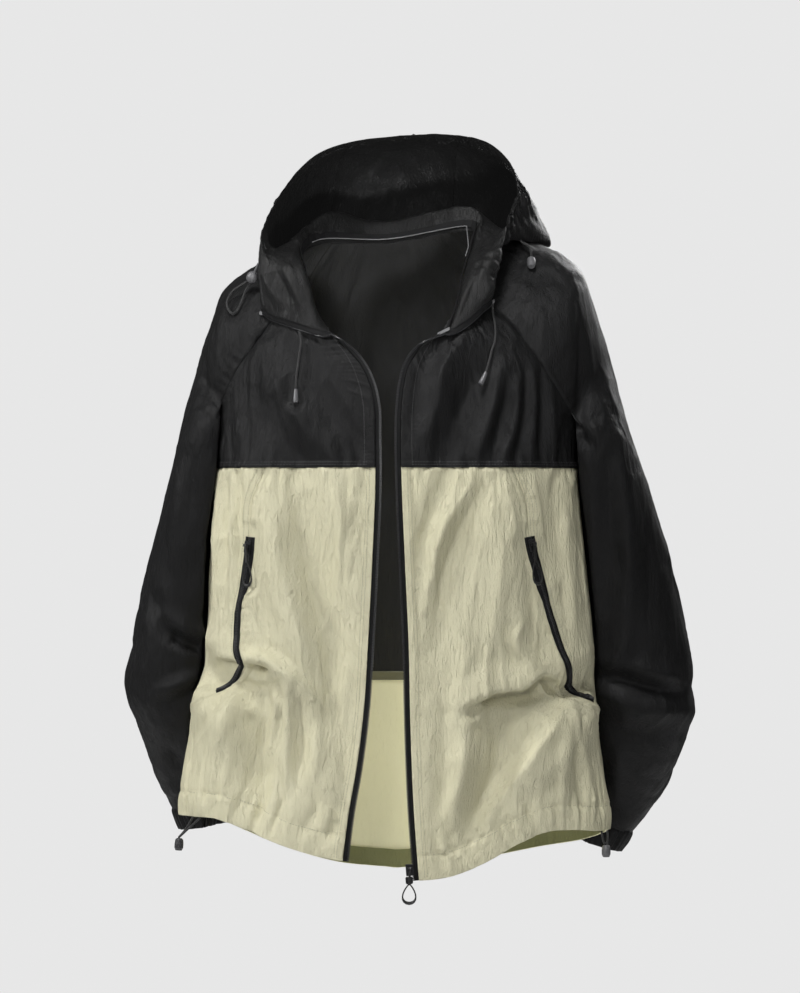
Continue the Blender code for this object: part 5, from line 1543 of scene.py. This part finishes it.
def strip_relief(points, normals):
    """The binding lies flat on the inside of the back."""
    return upper_relief(points, normals) - 1.6


cloth("back_seam_binding", "back_lower", [strip[:, 2:-2]], from_axis, strip_relief,
      "binding", "binding", "sage_nylon", wall=0.4)


def facing_relief(points, normals):
    """The facing lies inside the cloth of the hem."""
    return lower_relief(points, normals) - 2.0


cloth("hem_facing_cloth", "hem_facing_back", [facing[:, 2:-2]], from_axis, facing_relief,
      "olive_painted_shade", "olive_painted_shade", "sage_nylon", wall=0.5)


# %% [markdown]
# ## The sleeves and cuffs
# A raglan sleeve runs up to the neck between two slanted seams, so its head is part of the
# shoulder. Its outer and its inner half are two nets that are joined at the front and back
# lines. The cuff is drawn in by an elastic, which stands in small even gathers.

# %% Sleeve nets
SLEEVE_CELL = 3.2
SLEEVE_RINGS = 18          # from the armhole to the cuff, before finer ones are laid between
SLEEVE_COLUMNS = (84, 56)  # over the outer half and under the inner half


def resample(rings, cell):
    """More rings between those of a net, on a smooth curve through them."""
    step = np.linalg.norm(np.diff(rings, axis=0), axis=-1).mean(1)
    at = np.insert(np.cumsum(np.maximum(step, 0.5)), 0, 0)
    fine = close_steps(at[-1], cell) * at[-1]
    flat = rings.reshape(len(rings), -1)
    return spline(at, flat, fine).reshape(len(fine), *rings.shape[1:]), at, fine


def sleeve_nets(side):
    """Outer and inner nets of a sleeve, from the neck to the cuff."""
    rows = SLEEVE[side]
    stations = np.concatenate([np.linspace(0, 4.6, 24), [4.8, 5.0]])
    heights = np.linspace(rows["z"][0], rows["z"][-2], SLEEVE_RINGS)
    outer, inner = sleeve_surface(side, stations, heights, *SLEEVE_COLUMNS)
    below = len(stations) - 1
    inner[:, 0] = outer[below:, -1]
    inner[:, -1] = outer[below:, 0]
    fine_outer, at, fine = resample(outer, SLEEVE_CELL)
    start = at[below]
    knots = at[below:] - start
    flat = inner.reshape(len(inner), -1)
    below_rows = fine[fine > start + 1e-6]
    inner_at = np.concatenate([[0], below_rows - start])
    fine_inner = spline(knots, flat, inner_at).reshape(len(inner_at), *inner.shape[1:])
    first = len(fine) - len(below_rows)
    fine_inner[1:, 0] = fine_outer[first:, -1]
    fine_inner[1:, -1] = fine_outer[first:, 0]
    return fine_outer, fine_inner


SLEEVE_CREASES = {
    "front": (
        # left sleeve, front
        (6, 3, 0, (-214, -91), (-216, -148)),
        (10, -3.2, 0, (-206, -60), (-222, -130), (-226, -190)),
        (10, -3.4, 0, (-240, -200), (-252, -270), (-250, -330)),
        (8, 3, 0, (-228, -220), (-236, -300)),
        (9, 5, 0, (-280, -365), (-270, -390), (-258, -411)),
        (6.5, 8, 0.2, (-262, -410), (-240, -424), (-220, -431), (-206, -433)),
        (8, -4.4, 0, (-262, -394), (-238, -407), (-212, -414)),
        (10, 4, 0, (-256, -418), (-246, -424)),
        (6.5, -5, 0, (-269, -479), (-244, -470), (-220, -459)),
        (8, 4, 0, (-262, -494), (-240, -487), (-218, -477)),
        (5, -3, 0, (-283, -496), (-275, -479)),
        (10, 5, 0, (-263, -547), (-246, -570)),
        (8, -3, 0, (-236, -520), (-238, -590)),
        # right sleeve, front
        (5.5, 3.2, 0, (208, -34), (207, -110), (207, -194)),
        (6, 5, 0, (206, -183), (212, -195), (221, -205)),
        (14, -5.6, 0.3, (250, -205), (258, -270), (261, -331), (258, -433)),
        (9, 3.4, 0, (238, -215), (242, -300), (238, -380)),
        (9, 3.4, 0, (270, -230), (284, -300), (286, -400)),
        (8, 9.5, 0, (227, -462), (250, -466), (278, -473), (327, -484)),
        (8, -5.6, 0, (233, -458), (250, -439), (258, -422)),
        (10, -4.6, 0, (264, -448), (290, -456), (320, -464)),
        (11, -5.6, 0, (233, -479), (278, -500), (319, -504)),
        (9, 3.6, 0, (240, -520), (270, -528), (300, -524)),
        (8, -3, 0, (252, -545), (258, -600)),
        (7, 3, 0, (236, -555), (236, -610)),
    ),
    "back": (
        # both, behind and outside
        (8, 6.5, 0, (-214, -420), (-244, -434), (-282, -430)),
        (9, -4.4, 0, (-220, -400), (-250, -412), (-284, -408)),
        (9, -4.4, 0, (-216, -470), (-250, -462), (-284, -474)),
        (13, -4.6, 0.2, (-232, -200), (-246, -300), (-262, -380)),
        (9, 3.4, 0, (-232, -520), (-236, -590)),
        (8, 7, 0, (216, -455), (262, -470), (316, -462)),
        (10, -5, 0, (224, -490), (270, -500), (318, -488)),
        (13, -4.6, 0.2, (236, -210), (262, -320), (274, -410)),
        (9, 3.4, 0, (250, -540), (256, -600)),
    ),
    "left": (
        (12, 2.6, 0, (-20, -410), (20, -428), (70, -424)),
        (12, -2.4, 0.2, (-10, -300), (30, -360), (60, -400)),
        (12, -2.2, 0, (10, -480), (50, -470), (90, -486)),
        (11, 3.6, 0, (20, -180), (34, -280)),
    ),
    "right": (
        (12, 2.8, 0, (-16, -470), (30, -478), (84, -466)),
        (12, -2.4, 0, (0, -500), (50, -508), (100, -496)),
        (12, -2.4, 0.2, (-10, -300), (26, -370), (60, -430)),
        (11, 3.6, 0, (30, -180), (44, -300)),
    ),
}


def arm_relief(side):
    """Relief of one sleeve."""
    def relief(points, normals):
        depth = -creases(points, normals, SLEEVE_CREASES)
        soft = np.ones(len(points))
        for name in ("raglan_front_", "raglan_back_"):
            away, _ = near_line(points, SEAMS[name + side])
            soft *= 1 - 0.8 * np.exp(-(away / 4.0) ** 2)
            depth += seam_relief(points, SEAMS[name + side], groove=0.4, pucker=1.3, pitch=11.0,
                                 reach=15.0, seed=45 if name == "raglan_front_" else 43)
        end = SLEEVE[side]["z"][-2]
        away = np.clip(points[:, 2] - end, 0, 200)
        turn = np.arctan2(points[:, 1], points[:, 0] - points[:, 0].mean())
        gathers = uneven_waves(turn * 70, 12.0, 51) * np.exp(-away / 30.0)
        depth += 2.3 * gathers + soft * crumple(points, 0.62, 5)
        depth = meet(points, depth, "arm_front_" + side, "arm_back_" + side, reach=SEAM_REACH)
        return depth * (0.15 + 0.85 * np.clip(away / 12.0, 0, 1))
    return relief


ARM_DEPTH = 30.0       # the arm's middle lies this far behind the shoulder's
for side in ("left", "right"):
    across = np.mean([np.mean(SLEEVE[side][name]) for name in ("outer", "inner")])
    cloth("sleeve_cloth_" + side, "sleeve_" + side, sleeve_nets(side),
          away_from((across, ARM_DEPTH, 0)), arm_relief(side), *BLACK_CLOTH)

# %% Gathered cuffs
CUFF_TUCK = 4.0        # the cuff starts this far up inside the end of the sleeve
CUFF_RINGS = 14
CUFF_COLUMNS = 156


def cuff_net(side):
    """Rings of a gathered cuff, closed round the wrist."""
    top = SLEEVE[side]["z"][-2]
    angle = np.linspace(0, 2 * math.pi, CUFF_COLUMNS + 1)
    rings = []
    for share in np.linspace(0, 1, CUFF_RINGS):
        z = top + CUFF_TUCK - (CUFF_LENGTH + CUFF_TUCK) * share
        ring = sleeve_ring(side, z, angle)
        middle = ring[:-1].mean(0)
        out = unit((ring - middle) * (1, 1, 0))
        swell = 1.2 * math.sin(math.pi * share) - 1.8 * math.exp(-(share / 0.14) ** 2)
        wave = CUFF_WAVE * np.cos(CUFF_GATHERS * angle) + 0.9 * np.cos(29 * angle + 1.0)
        rings.append(ring + out * (wave * min(0.2 + 3 * share, 1) + swell)[:, None])
    return np.stack(rings)


for side in ("left", "right"):
    net = cuff_net(side)
    cloth("cuff_cloth_" + side, "cuff_" + side, [net], away_from(net.reshape(-1, 3).mean(0)),
          lambda points, normals: crumple(points, 0.35, 6), *BLACK_CLOTH, held="gathered")


# %% [markdown]
# ## The hood
# The hood is open at the front, so its collar edges fall outward and show their inner side,
# and its bowl lies back behind the neck. Three panels meet in two seams over the head. A cord
# runs in a channel along the rim and gathers it.

# %% Hood nets and relief
HOOD_CELL = 3.0


def hood_net(start, end):
    """Net of one hood panel."""
    around = start + (end - start) * close_steps(abs(end - start) * 370, HOOD_CELL)
    up = close_steps(330, HOOD_CELL)
    around, up = np.meshgrid(around, up)
    return hood_point(around, up)


def hood_line(around, up_start, up_end, count=60):
    """A line up the hood."""
    return hood_point(np.full(count, around), np.linspace(up_start, up_end, count))


def hood_ring(up, start=-1.0, end=1.0, count=140):
    """A line along the hood's rim or channel."""
    return hood_point(np.linspace(start, end, count), np.full(count, up))


SEAMS["hood_left"] = hood_line(HOOD_SEAM_LEFT, 0, 1)
SEAMS["hood_right"] = hood_line(HOOD_SEAM_RIGHT, 0, 1)
SEAMS["neck"] = hood_ring(0.0)
SEAMS["rim"] = hood_ring(1.0)
SEAMS["channel"] = hood_ring(0.915, -0.86, 0.97)
SEAMS["hood_edge_left"] = hood_line(-1.0, 0, 1)
SEAMS["hood_edge_right"] = hood_line(1.0, 0, 1)
HOOD_CREASES = {
    "back": (
        (4.5, 4, 0, (-77, 58), (-95, 40), (-102, 20), (-102, -3), (-98, -14)),
        (4.5, 3.4, 0, (-86, 54), (-105, 35), (-117, 9)),
        (4, -3.2, 0, (-94, 50), (-100, 30), (-109, 6)),
        (3.6, 2.8, 0, (86, 39), (77, 6), (69, -24)),
        (3.6, -2.6, 0, (82, 14), (75, -21)),
        (4, -2.6, 0, (62, 29), (77, 14)),
        (6, 4.6, 0, (129, 103), (97, 71)),
        (3.6, -2.6, 0, (-5, 109), (-4, 92)),
        (4.5, 3.4, 0, (-150, -5), (-139, -27), (-130, -39)),
        (4.5, 3.4, 0, (-124, -5), (-113, -27), (-105, -44)),
        (5, -3, 0, (-138, 2), (-127, -20), (-118, -40)),
        (6, -3, 0, (88, -10), (80, -40), (68, -66)),
        (6, 3.4, 0, (104, -6), (98, -30), (88, -56)),
        (13, 3.4, 0, (-90, 112), (-72, 60), (-62, 14)),
        (13, -4, 0, (112, 116), (104, 60), (84, 16)),
        (12, 3, 0, (30, 146), (40, 100), (30, 50)),
    ),
    "front": (
        (5.5, -4, 0, (138, 91), (158, 68), (179, 33)),
        (5.5, 3.4, 0, (144, 79), (169, 50)),
        (6, 3, 0, (136, 70), (150, 46), (160, 30)),
    ),
}


def hood_relief(points, normals):
    """Relief of the hood; outward is the side that shows when it is worn up."""
    relief = -creases(points, normals, HOOD_CREASES)
    for name, seed in (("hood_left", 61), ("hood_right", 62)):
        relief += seam_relief(points, SEAMS[name], groove=0.8, pucker=0.4, pitch=9.0, seed=seed)
    away, along = near_line(points, SEAMS["channel"])
    rim, _ = near_line(points, SEAMS["rim"])
    gathers = uneven_waves(along, 15.0, 63) + 0.6 * uneven_waves(along, 8.0, 64)
    gathers *= 0.15 + 0.85 * np.clip((points[:, 0] + 70) / 60, 0, 1)
    relief += 1.3 * np.exp(-(away / 1.8) ** 2)
    relief += 3.9 * gathers * np.exp(-(away / 24.0) ** 2)
    relief -= 1.2 * np.sin(np.pi * np.clip(rim / 26.0, 0, 1))
    edge = 0.3 + 0.7 * np.clip(rim / 14.0, 0, 1)
    for name in ("hood_edge_left", "hood_edge_right", "neck"):
        near, _ = near_line(points, SEAMS[name])
        edge *= 1 - 0.85 * np.exp(-(near / 8.0) ** 2)
    return (relief + crumple(points, 0.8, 7)) * edge


for name, start, end in (("left", -1.0, HOOD_SEAM_LEFT),
                         ("middle", HOOD_SEAM_LEFT, HOOD_SEAM_RIGHT),
                         ("right", HOOD_SEAM_RIGHT, 1.0)):
    facing = hood_normal(np.array([(start + end) / 2]), np.array([0.5]))[0]
    cloth("hood_cloth_" + name, "hood_" + name, [hood_net(start, end)],
          lambda points: np.repeat(facing[None], len(points), 0), hood_relief,
          "black", "black_hood_glowing", "black_nylon")


# %% [markdown]
# ## Zips
# A coil zip is two woven tapes with a row of small teeth along each edge. One tooth is
# modelled, and then repeated along the tape with its own mesh points.

# %% Repeating a small piece along a line
def resampled(line, pitch):
    """Even steps along a line: points, directions and distances from its start."""
    at = lengths(line)
    steps = np.arange(pitch / 2, at[-1], pitch)
    ahead, behind = (between(steps + reach, at, line) for reach in (0.4, -0.4))
    return between(steps, at, line), unit(ahead - behind + 1e-9), steps


def apply_scale():
    """Put the scale of the selected object into its mesh."""
    bpy.ops.object.transform_apply(location=False, rotation=False, scale=True)


def model_of(make, *sizes, shape=None, **settings):
    """Points (mm) and faces of a small piece that an operator makes, then remove it."""
    bpy.ops.object.select_all(action="DESELECT")
    make(scale=sizes, **settings)
    obj = bpy.context.object
    if shape:
        shape(obj)
    points = np.array([v.co for v in obj.data.vertices]) / MM
    faces = [list(p.vertices) for p in obj.data.polygons]
    bpy.data.objects.remove(obj)
    return points, faces


SMOOTH_ANGLE = 40.0    # degrees; sharper edges of a small piece stay sharp


def repeated(name, model, places, along, outward, finish):
    """One object of many copies: model's x along the line, z outward, y across."""
    shape, faces = model
    points, all_faces = [], []
    for k, (place, x, z) in enumerate(zip(places, along, outward)):
        z = z - x * (z @ x)
        z = z / np.linalg.norm(z)
        turn = np.stack([x, np.cross(z, x), z])
        points.append(place + shape @ turn)
        all_faces += [[i + k * len(shape) for i in face] for face in faces]
    obj = new_mesh(name, np.concatenate(points), all_faces, finishes=(finish,))
    select_only(obj)
    bpy.ops.object.shade_smooth_by_angle(angle=math.radians(SMOOTH_ANGLE))
    obj.select_set(False)
    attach(obj, "jacket")


def tooth_shape(obj):
    """Narrow the head of the tooth."""
    for vertex in obj.data.vertices:
        if vertex.co.y > 0:
            vertex.co.x *= 0.7
            vertex.co.z *= 0.75


TOOTH_SIZE = (1.15, 2.6, 1.5)
TOOTH_PITCH = 1.75
STOP_SIZE = (3.4, 3.6, 2.4)


def block(x, y, z, shape):
    """A small block, sizes in mm, that is shaped before its points are read."""
    return model_of(bpy.ops.mesh.primitive_cube_add, x * MM, y * MM, z * MM, size=1, shape=shape)


TOOTH = block(*TOOTH_SIZE, tooth_shape)
STOP = block(*STOP_SIZE, lambda obj: apply_scale())
print("tooth and stop:", len(TOOTH[1]), "and", len(STOP[1]), "faces")


# %% Front zips
ZIP_WIDTH = 7.0
ZIP_GAP = 0.5          # between the cloth's edge and the start of the tape


def front_zip_lines(side):
    """Edge of the cloth, outward in its plane and normal, from hem to hood rim."""
    body = np.concatenate([FRONT[side]["panel"][:-1, [-8, -1]], FRONT[side]["yoke"][:, [-8, -1]]])
    around = np.array((0.955, 1.0)) * sign_of(side)
    up = np.linspace(0.03, 1, 40)
    collar = hood_point(around[None, :], up[:, None])
    pairs = np.concatenate([body[::4], body[-1:], collar])
    edge, near = pairs[:, 1], pairs[:, 0]
    outward = -inward(edge, near)
    fold = len(body[::4])
    outward[fold - 1:fold + 1] = (0.0, -1.0, 0.0)
    for _ in range(6):
        padded = np.concatenate([outward[:1], outward, outward[-1:]])
        outward = unit(padded[:-2] + 2 * padded[1:-1] + padded[2:])
    normals = -sign_of(side) * unit(np.cross(outward, along_of(edge)))
    return edge, outward, normals


for side in ("left", "right"):
    edge, outward, normals = front_zip_lines(side)
    start = edge - normals * 0.3 + outward * ZIP_GAP
    width = np.linspace(-1.4, ZIP_WIDTH - 1.6, 8)
    under = np.clip(0.4 - width, 0, 2) * 0.8
    net = (start[:, None] + outward[:, None] * width[None, :, None]
           - normals[:, None] * under[None, :, None])

    def tape_out(points):
        """Outward of the tape."""
        nearest = [np.argmin(np.linalg.norm(edge - p, axis=1)) for p in points]
        return normals[nearest]

    def tape_relief(points, _):
        """Small waves of the tape, a little below the cloth."""
        return 0.25 * uneven_waves(near_line(points, edge)[1], 8.0, 81) - 0.35

    cloth("zip_tape_" + side, "front_zip_" + side, [net], tape_out, tape_relief, "tape", "tape",
          "zip_tape", wall=0.5, sheet=False)
    line = start + outward * (ZIP_WIDTH - 1.8) + normals * 0.1
    places, along, steps = resampled(line, TOOTH_PITCH)
    up = unit(between(steps, lengths(line), normals))
    along = along * -sign_of(side)
    repeated("zip_teeth_" + side, TOOTH, places, along, up, "teeth")
    stop = start[-1:] + outward[-1:] * (ZIP_WIDTH - 2.4)
    repeated("zip_stop_" + side, STOP, stop, along[-1:], up[-1:], "piping")
    print("zip_teeth_" + side, len(places), "teeth")


# %% [markdown]
# The zip of a hand pocket lies in the seam between panel and side piece. Its tape is laid over
# the finished cloth: rays from outside find how high the cloth stands, so the tape follows
# its folds. A coil of small ribs runs along its middle.

# %% Height of the finished cloth
def surface_of(*names):
    """Ray target made of finished pieces of cloth."""
    graph = bpy.context.evaluated_depsgraph_get()
    return [BVHTree.FromObject(bpy.data.objects[name], graph) for name in names]


def settle(points, outward, trees, reach=16.0):
    """Height in mm above the points, along outward, at which cloth is met from outside."""
    height = np.full(len(points), np.nan)
    for k, (point, out) in enumerate(zip(points, outward)):
        origin = Vector((point + out * reach) * MM)
        for tree in trees:
            hit = tree.ray_cast(origin, Vector(-out), 2 * reach * MM)
            if hit[0] is not None:
                found = reach - hit[3] / MM
                height[k] = np.nanmax((height[k], found))
    bad = np.isnan(height)
    if bad.any() and not bad.all():
        height[bad] = np.interp(np.flatnonzero(bad), np.flatnonzero(~bad), height[~bad])
    return height


# %% Pocket zips
POCKET_ZIP_TOP = {"left": -301.0, "right": -300.0}
POCKET_ZIP_END = {"left": -476.0, "right": -491.0}
POCKET_SHIFT = {"left": 1.6, "right": 0.6}     # of the zip's upper part, towards the front
# Where the seam bends, the zip cuts the corner: height of the bend, reach, and shift there.
POCKET_NUDGE = {"left": (-449.0, 14.0, -7.0), "right": (-472.0, 22.0, -11.0)}
POCKET_HALF_WIDTH = (7.0, 6.4, 5.2, 4.6, 4.6)  # of the tape, from its top to its end
RIB_SIZE = (0.9, 4.0, 0.9)
RIB_PITCH = 1.7


def pocket_zip(side):
    """Tape and coil of one hand pocket."""
    seam = FRONT[side]["wedge"][:, -1]
    out = FRONT[side]["wedge"][:, -8] - seam
    keep = (seam[:, 2] > POCKET_ZIP_END[side]) & (seam[:, 2] < POCKET_ZIP_TOP[side])
    line = seam[keep][::-1]
    places, along, steps = resampled(line, 2.0)
    towards = unit(-between(steps, lengths(line), out[keep][::-1]))
    normals = -sign_of(side) * unit(np.cross(along, towards))
    normals = unit(normals * (1, 1, 0.3))
    towards = unit(np.cross(normals, along)) * -sign_of(side)
    total = steps[-1]
    half = np.interp(steps, (0, 60, 75, total * 0.72, total), POCKET_HALF_WIDTH)
    shift = POCKET_SHIFT[side] * np.interp(steps, (0, 60, 90), (1, 1, 0))
    height, reach, nudge = POCKET_NUDGE[side]
    shift += nudge * np.exp(-((places[:, 2] - height) / reach) ** 2)
    across = np.array((-1.0, -0.94, -0.6, -0.42, -0.24, 0.0, 0.24, 0.42, 0.6, 0.94, 1.0))
    side_step = shift[:, None] + half[:, None] * across
    base = places[:, None] + towards[:, None] * side_step[..., None]
    trees = surface_of("panel_cloth_" + side, "side_cloth_" + side)
    spread = np.repeat(normals[:, None], len(across), 1)
    height = settle(base.reshape(-1, 3), spread.reshape(-1, 3), trees).reshape(len(steps), -1)
    for _ in range(3):
        padded = np.pad(height, 1, mode="edge")
        around = (padded[:-2, 1:-1] + padded[2:, 1:-1] + padded[1:-1, :-2]
                  + padded[1:-1, 2:]) / 4
        height = np.maximum(height - 0.4, around)
    coil = 1.0 * np.exp(-(half[:, None] * across / 1.9) ** 2)
    lift = 0.9 + coil
    lift[:, (0, -1)] = 0.35
    net = base + spread * (height + lift)[..., None]
    cloth("pocket_tape_" + side, "pocket_zip_" + side, [net], from_axis,
          lambda points, _: np.zeros(len(points)), "tape", "tape", "zip_tape", wall=0.4,
          sheet=False)
    middle = net[:, 5]
    centre, along, steps = resampled(middle, RIB_PITCH)
    up = unit(between(steps, lengths(middle), normals))
    repeated("pocket_coil_" + side, RIB, centre, along, up, "teeth")
    print("pocket_coil_" + side, len(centre), "ribs")


def soft_block(x, y, z):
    """A small block with rounded edges, sizes in mm."""
    def shape(obj):
        apply_scale()
        bevel = obj.modifiers.new("rounding", "BEVEL")
        bevel.width, bevel.segments = min(x, y, z) * 0.3 * MM, 1
        apply_modifiers(obj)
    return block(x, y, z, shape)


RIB = soft_block(*RIB_SIZE)
for side in ("left", "right"):
    pocket_zip(side)


# %% [markdown]
# ## Stitching
# Every seam of the jacket is held by lock stitches that show as small dashes of thread. One
# dash is a stretched ball; copies of it are laid on the finished cloth at an even step.

# %% Rows of stitches
DASH = model_of(bpy.ops.mesh.primitive_uv_sphere_add, 2.3, 0.8, 0.62, segments=6, ring_count=4,
                radius=0.5 * MM, shape=lambda obj: apply_scale())
STITCH_PITCH = 3.0
STITCH_HEIGHT = 0.12   # of the dash's middle above the cloth
STRAY = 1.2            # a dash that lies this far from its neighbours' height is left out


def stitches(name, line, outward, pieces, finish, slot, pitch=STITCH_PITCH):
    """Dashes of thread along a line near the cloth."""
    places, along, steps = resampled(line, pitch)
    up = unit(between(steps, lengths(line), outward))
    height = settle(places, up, surface_of(*pieces))
    padded = np.pad(height, 3, mode="edge")
    usual = np.median([padded[k:k + len(height)] for k in range(7)], axis=0)
    lies = np.abs(height - usual) < STRAY
    places = places + up * (height + STITCH_HEIGHT)[:, None]
    ahead = np.vstack([places[1:], 2 * places[-1:] - places[-2:-1]])
    along = unit(ahead - places + 1e-9)
    places, along, up = places[lies], along[lies], up[lies]
    repeated(name, DASH, places, along, up, finish)
    return len(places)


def beside(border, neighbour, distance):
    """A line at a distance from the border of a net, on the side of its neighbour."""
    return border + unit(neighbour - border) * distance


def out_of_body(line):
    """Outward from the body's upright axis."""
    return from_axis(line * (1, 1.6, 0))


# Distance of each row from the edge of its piece, in mm.
PLACKET_ROWS = (6.4, 9.6)
YOKE_EDGE_ROW = 12.0
YOKE_SEAM_ROWS = (3.0, 6.0)
POCKET_ROWS = {"left": (2.4, 8.6), "right": (2.4, 6.2, 10.2)}
POCKET_ROWS_END = -440.0   # height at which the rows beside a pocket end
BACK_SEAM_ROW = 4.0
CHANNEL_ROWS = (0.905, 0.922)     # up the hood
CHANNEL_PITCH = 2.6
BLACK_ROW = ("black_thread", "black_nylon")
SAGE_ROW = ("sage_thread", "sage_nylon")


def body_row(name, line, piece, thread):
    """A row of stitches on the body."""
    return stitches(name, line, out_of_body(line), [piece], *thread)


count = 0
for side, nets in FRONT.items():
    panel, yoke, wedge = nets["panel"], nets["yoke"], nets["wedge"]
    for k, distance in enumerate(PLACKET_ROWS):
        line = beside(panel[:, -1], panel[:, -8], distance)[2:-2]
        count += body_row(f"placket_stitch_{side}_{k}", line, "panel_cloth_" + side, SAGE_ROW)
    line = beside(yoke[:, -1], yoke[:, -8], YOKE_EDGE_ROW)[2:-8]
    count += body_row("yoke_edge_stitch_" + side, line, "yoke_cloth_" + side, BLACK_ROW)
    for k, distance in enumerate(YOKE_SEAM_ROWS):
        line = beside(yoke[0], yoke[8], distance)[3:-3]
        count += body_row(f"yoke_seam_stitch_{side}_{k}", line, "yoke_cloth_" + side, BLACK_ROW)
    upper = wedge[:, -1, 2] > POCKET_ROWS_END
    for k, distance in enumerate(POCKET_ROWS[side]):
        line = beside(wedge[:, -1], wedge[:, -8], distance)[upper]
        count += body_row(f"pocket_seam_stitch_{side}_{k}", line, "side_cloth_" + side, SAGE_ROW)
    line = beside(panel[0], panel[8], HEM_CHANNEL)[2:-3]
    count += body_row("hem_stitch_" + side, line, "panel_cloth_" + side, SAGE_ROW)
line = beside(back_lower[0], back_lower[6], HEM_CHANNEL)[3:-3]
count += body_row("hem_stitch_back", line, "back_cloth_lower", SAGE_ROW)
line = beside(back_upper[0], back_upper[6], BACK_SEAM_ROW)[3:-3]
count += body_row("back_seam_stitch", line, "back_cloth_upper", BLACK_ROW)
hood_pieces = ["hood_cloth_left", "hood_cloth_middle", "hood_cloth_right"]
around = np.linspace(-0.97, 0.97, 300)
for k, up in enumerate(CHANNEL_ROWS):
    line, out = hood_point(around, np.full(300, up)), hood_normal(around, np.full(300, up))
    for face, outward in (("inner", -out), ("outer", out)):
        count += stitches(f"channel_stitch_{face}_{k}", line, outward, hood_pieces, *BLACK_ROW,
                          pitch=CHANNEL_PITCH)
print(count, "stitches")


# %% [markdown]
# ## Piping and guard
# A thin satin piping is sewn along the back of the neck seam, and a small soft guard covers
# the end of the zip at the right of the collar. Piping is a narrow strip folded over a cord,
# so a thin tube that follows the seam stands for it. The guard is one rounded block.

# %% Round tubes
def tube(name, line, radius, finish, sides):
    """A round closed tube along a line of points, as one object."""
    along = along_of(line)
    side = np.cross(along[0], (0.3, 0.2, 1.0))
    turn = np.linspace(0, 2 * math.pi, sides + 1)
    rings = []
    for point, forward in zip(line, along):
        side = side - forward * (side @ forward)
        side /= np.linalg.norm(side)
        rings.append(point + radius * (np.outer(np.cos(turn), side)
                                       + np.outer(np.sin(turn), np.cross(forward, side))))
    net = np.stack(rings)
    points, faces, places = join_nets([net])
    nearest = line[[np.argmin(np.linalg.norm(line - p, axis=1)) for p in points]]
    if (net_normals(points, faces) * (points - nearest)).sum() < 0:
        faces, places = faces[:, ::-1], places[:, ::-1]
    obj = new_mesh(name, points, faces, places, (finish,))
    for end in (0, -1):
        close_end(obj, net[end], along[end] * (1 if end else -1))
    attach(obj, "jacket")
    return obj


def close_end(obj, ring, outward):
    """Close the end of a tube with one face."""
    bm = bmesh.new()
    bm.from_mesh(obj.data)
    rim = [min(bm.verts, key=lambda v: (v.co - Vector(point)).length_squared)
           for point in ring[:-1] * MM]
    face = bm.faces.new(rim)
    face.normal_update()
    if face.normal.dot(Vector(outward)) < 0:
        face.normal_flip()
    bm.to_mesh(obj.data)
    bm.free()


# %% Piping on the neck seam and guard at the right end of the collar
PIPING_SPAN = (-97.0, 83.0)    # from left to right
PIPING_RISE = 0.016            # share of the way up the hood
PIPING_DEPTH = 4.4             # inward from the hood's surface
PIPING_RADIUS = 0.6
PIPING_SIDES = 8
GUARD_PLACE = np.array((52.0, -69.0))
GUARD_SIZE = (15.0, 7.0, 0.9)
GUARD_DEPTH = 3.0

edge = SEAMS["hood_edge_right"]
nearest = np.argmin(np.linalg.norm(edge[:, (0, 2)] - GUARD_PLACE, axis=1))
out = hood_normal(np.array([0.97]), np.array([nearest / (len(edge) - 1)]))
repeated("collar_guard", soft_block(*GUARD_SIZE), edge[nearest:nearest + 1] - out * GUARD_DEPTH,
         along_of(edge)[nearest:nearest + 1], -out, "piping")

around = np.linspace(-0.8, 0.8, 160)
rise = np.full(160, PIPING_RISE)
line = hood_point(around, rise) - hood_normal(around, rise) * PIPING_DEPTH
line = line[(line[:, 0] > PIPING_SPAN[0]) & (line[:, 0] < PIPING_SPAN[1]) & (line[:, 1] > -10)]
tube("neck_piping", line, PIPING_RADIUS, "piping", PIPING_SIDES)
print("neck piping from", line[0].round(), "to", line[-1].round())

# %% [markdown]
# ## Cords and their stops
# The hood and the hem are drawn in by a round braided cord. What shows of it is a short loop
# or end beside each stop. The cords hang as limp as they are thin, and each one leaves its
# channel through a small hole in the cloth.

# %% Cords
CORD_SIDES = 10
CORD_STEPS = 44
for node, route in CORD_ROUTES.items():
    route = np.asarray(route, float)
    at = lengths(route)
    line = spline(at, route, np.linspace(0, at[-1], CORD_STEPS))
    obj = tube(node + "_braid", line, CORD_DIAMETER / 2, "cord", CORD_SIDES)
    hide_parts(node)
    (line * MM).tolist()

# %% [markdown]
# ## Sliders, pulls and stops
# The small hard pieces keep the meshes of their solids, which already have their true shape.
# They only get their finish: lacquered metal, soft rubber or moulded plastic.

# %% Finishes of the small hard pieces
KEPT = {
    "main_slider": "metal", "pocket_slider_left": "metal", "pocket_slider_right": "metal",
    "zip_box": "metal", "main_pull": "rubber", "pocket_pull_left": "rubber",
    "pocket_pull_right": "rubber", "neck_tape": "tape", "hood_tip_left": "plastic",
    "hood_tip_right": "plastic", "hood_lock_left": "plastic", "hood_lock_right": "plastic",
    "hem_lock_left": "dark_plastic", "hem_lock_right": "plastic",
}
for node, finish in KEPT.items():
    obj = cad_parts[node]
    obj.data.materials.clear()
    obj.data.materials.append(FINISHES[finish])
print("kept nodes:", ", ".join(KEPT))
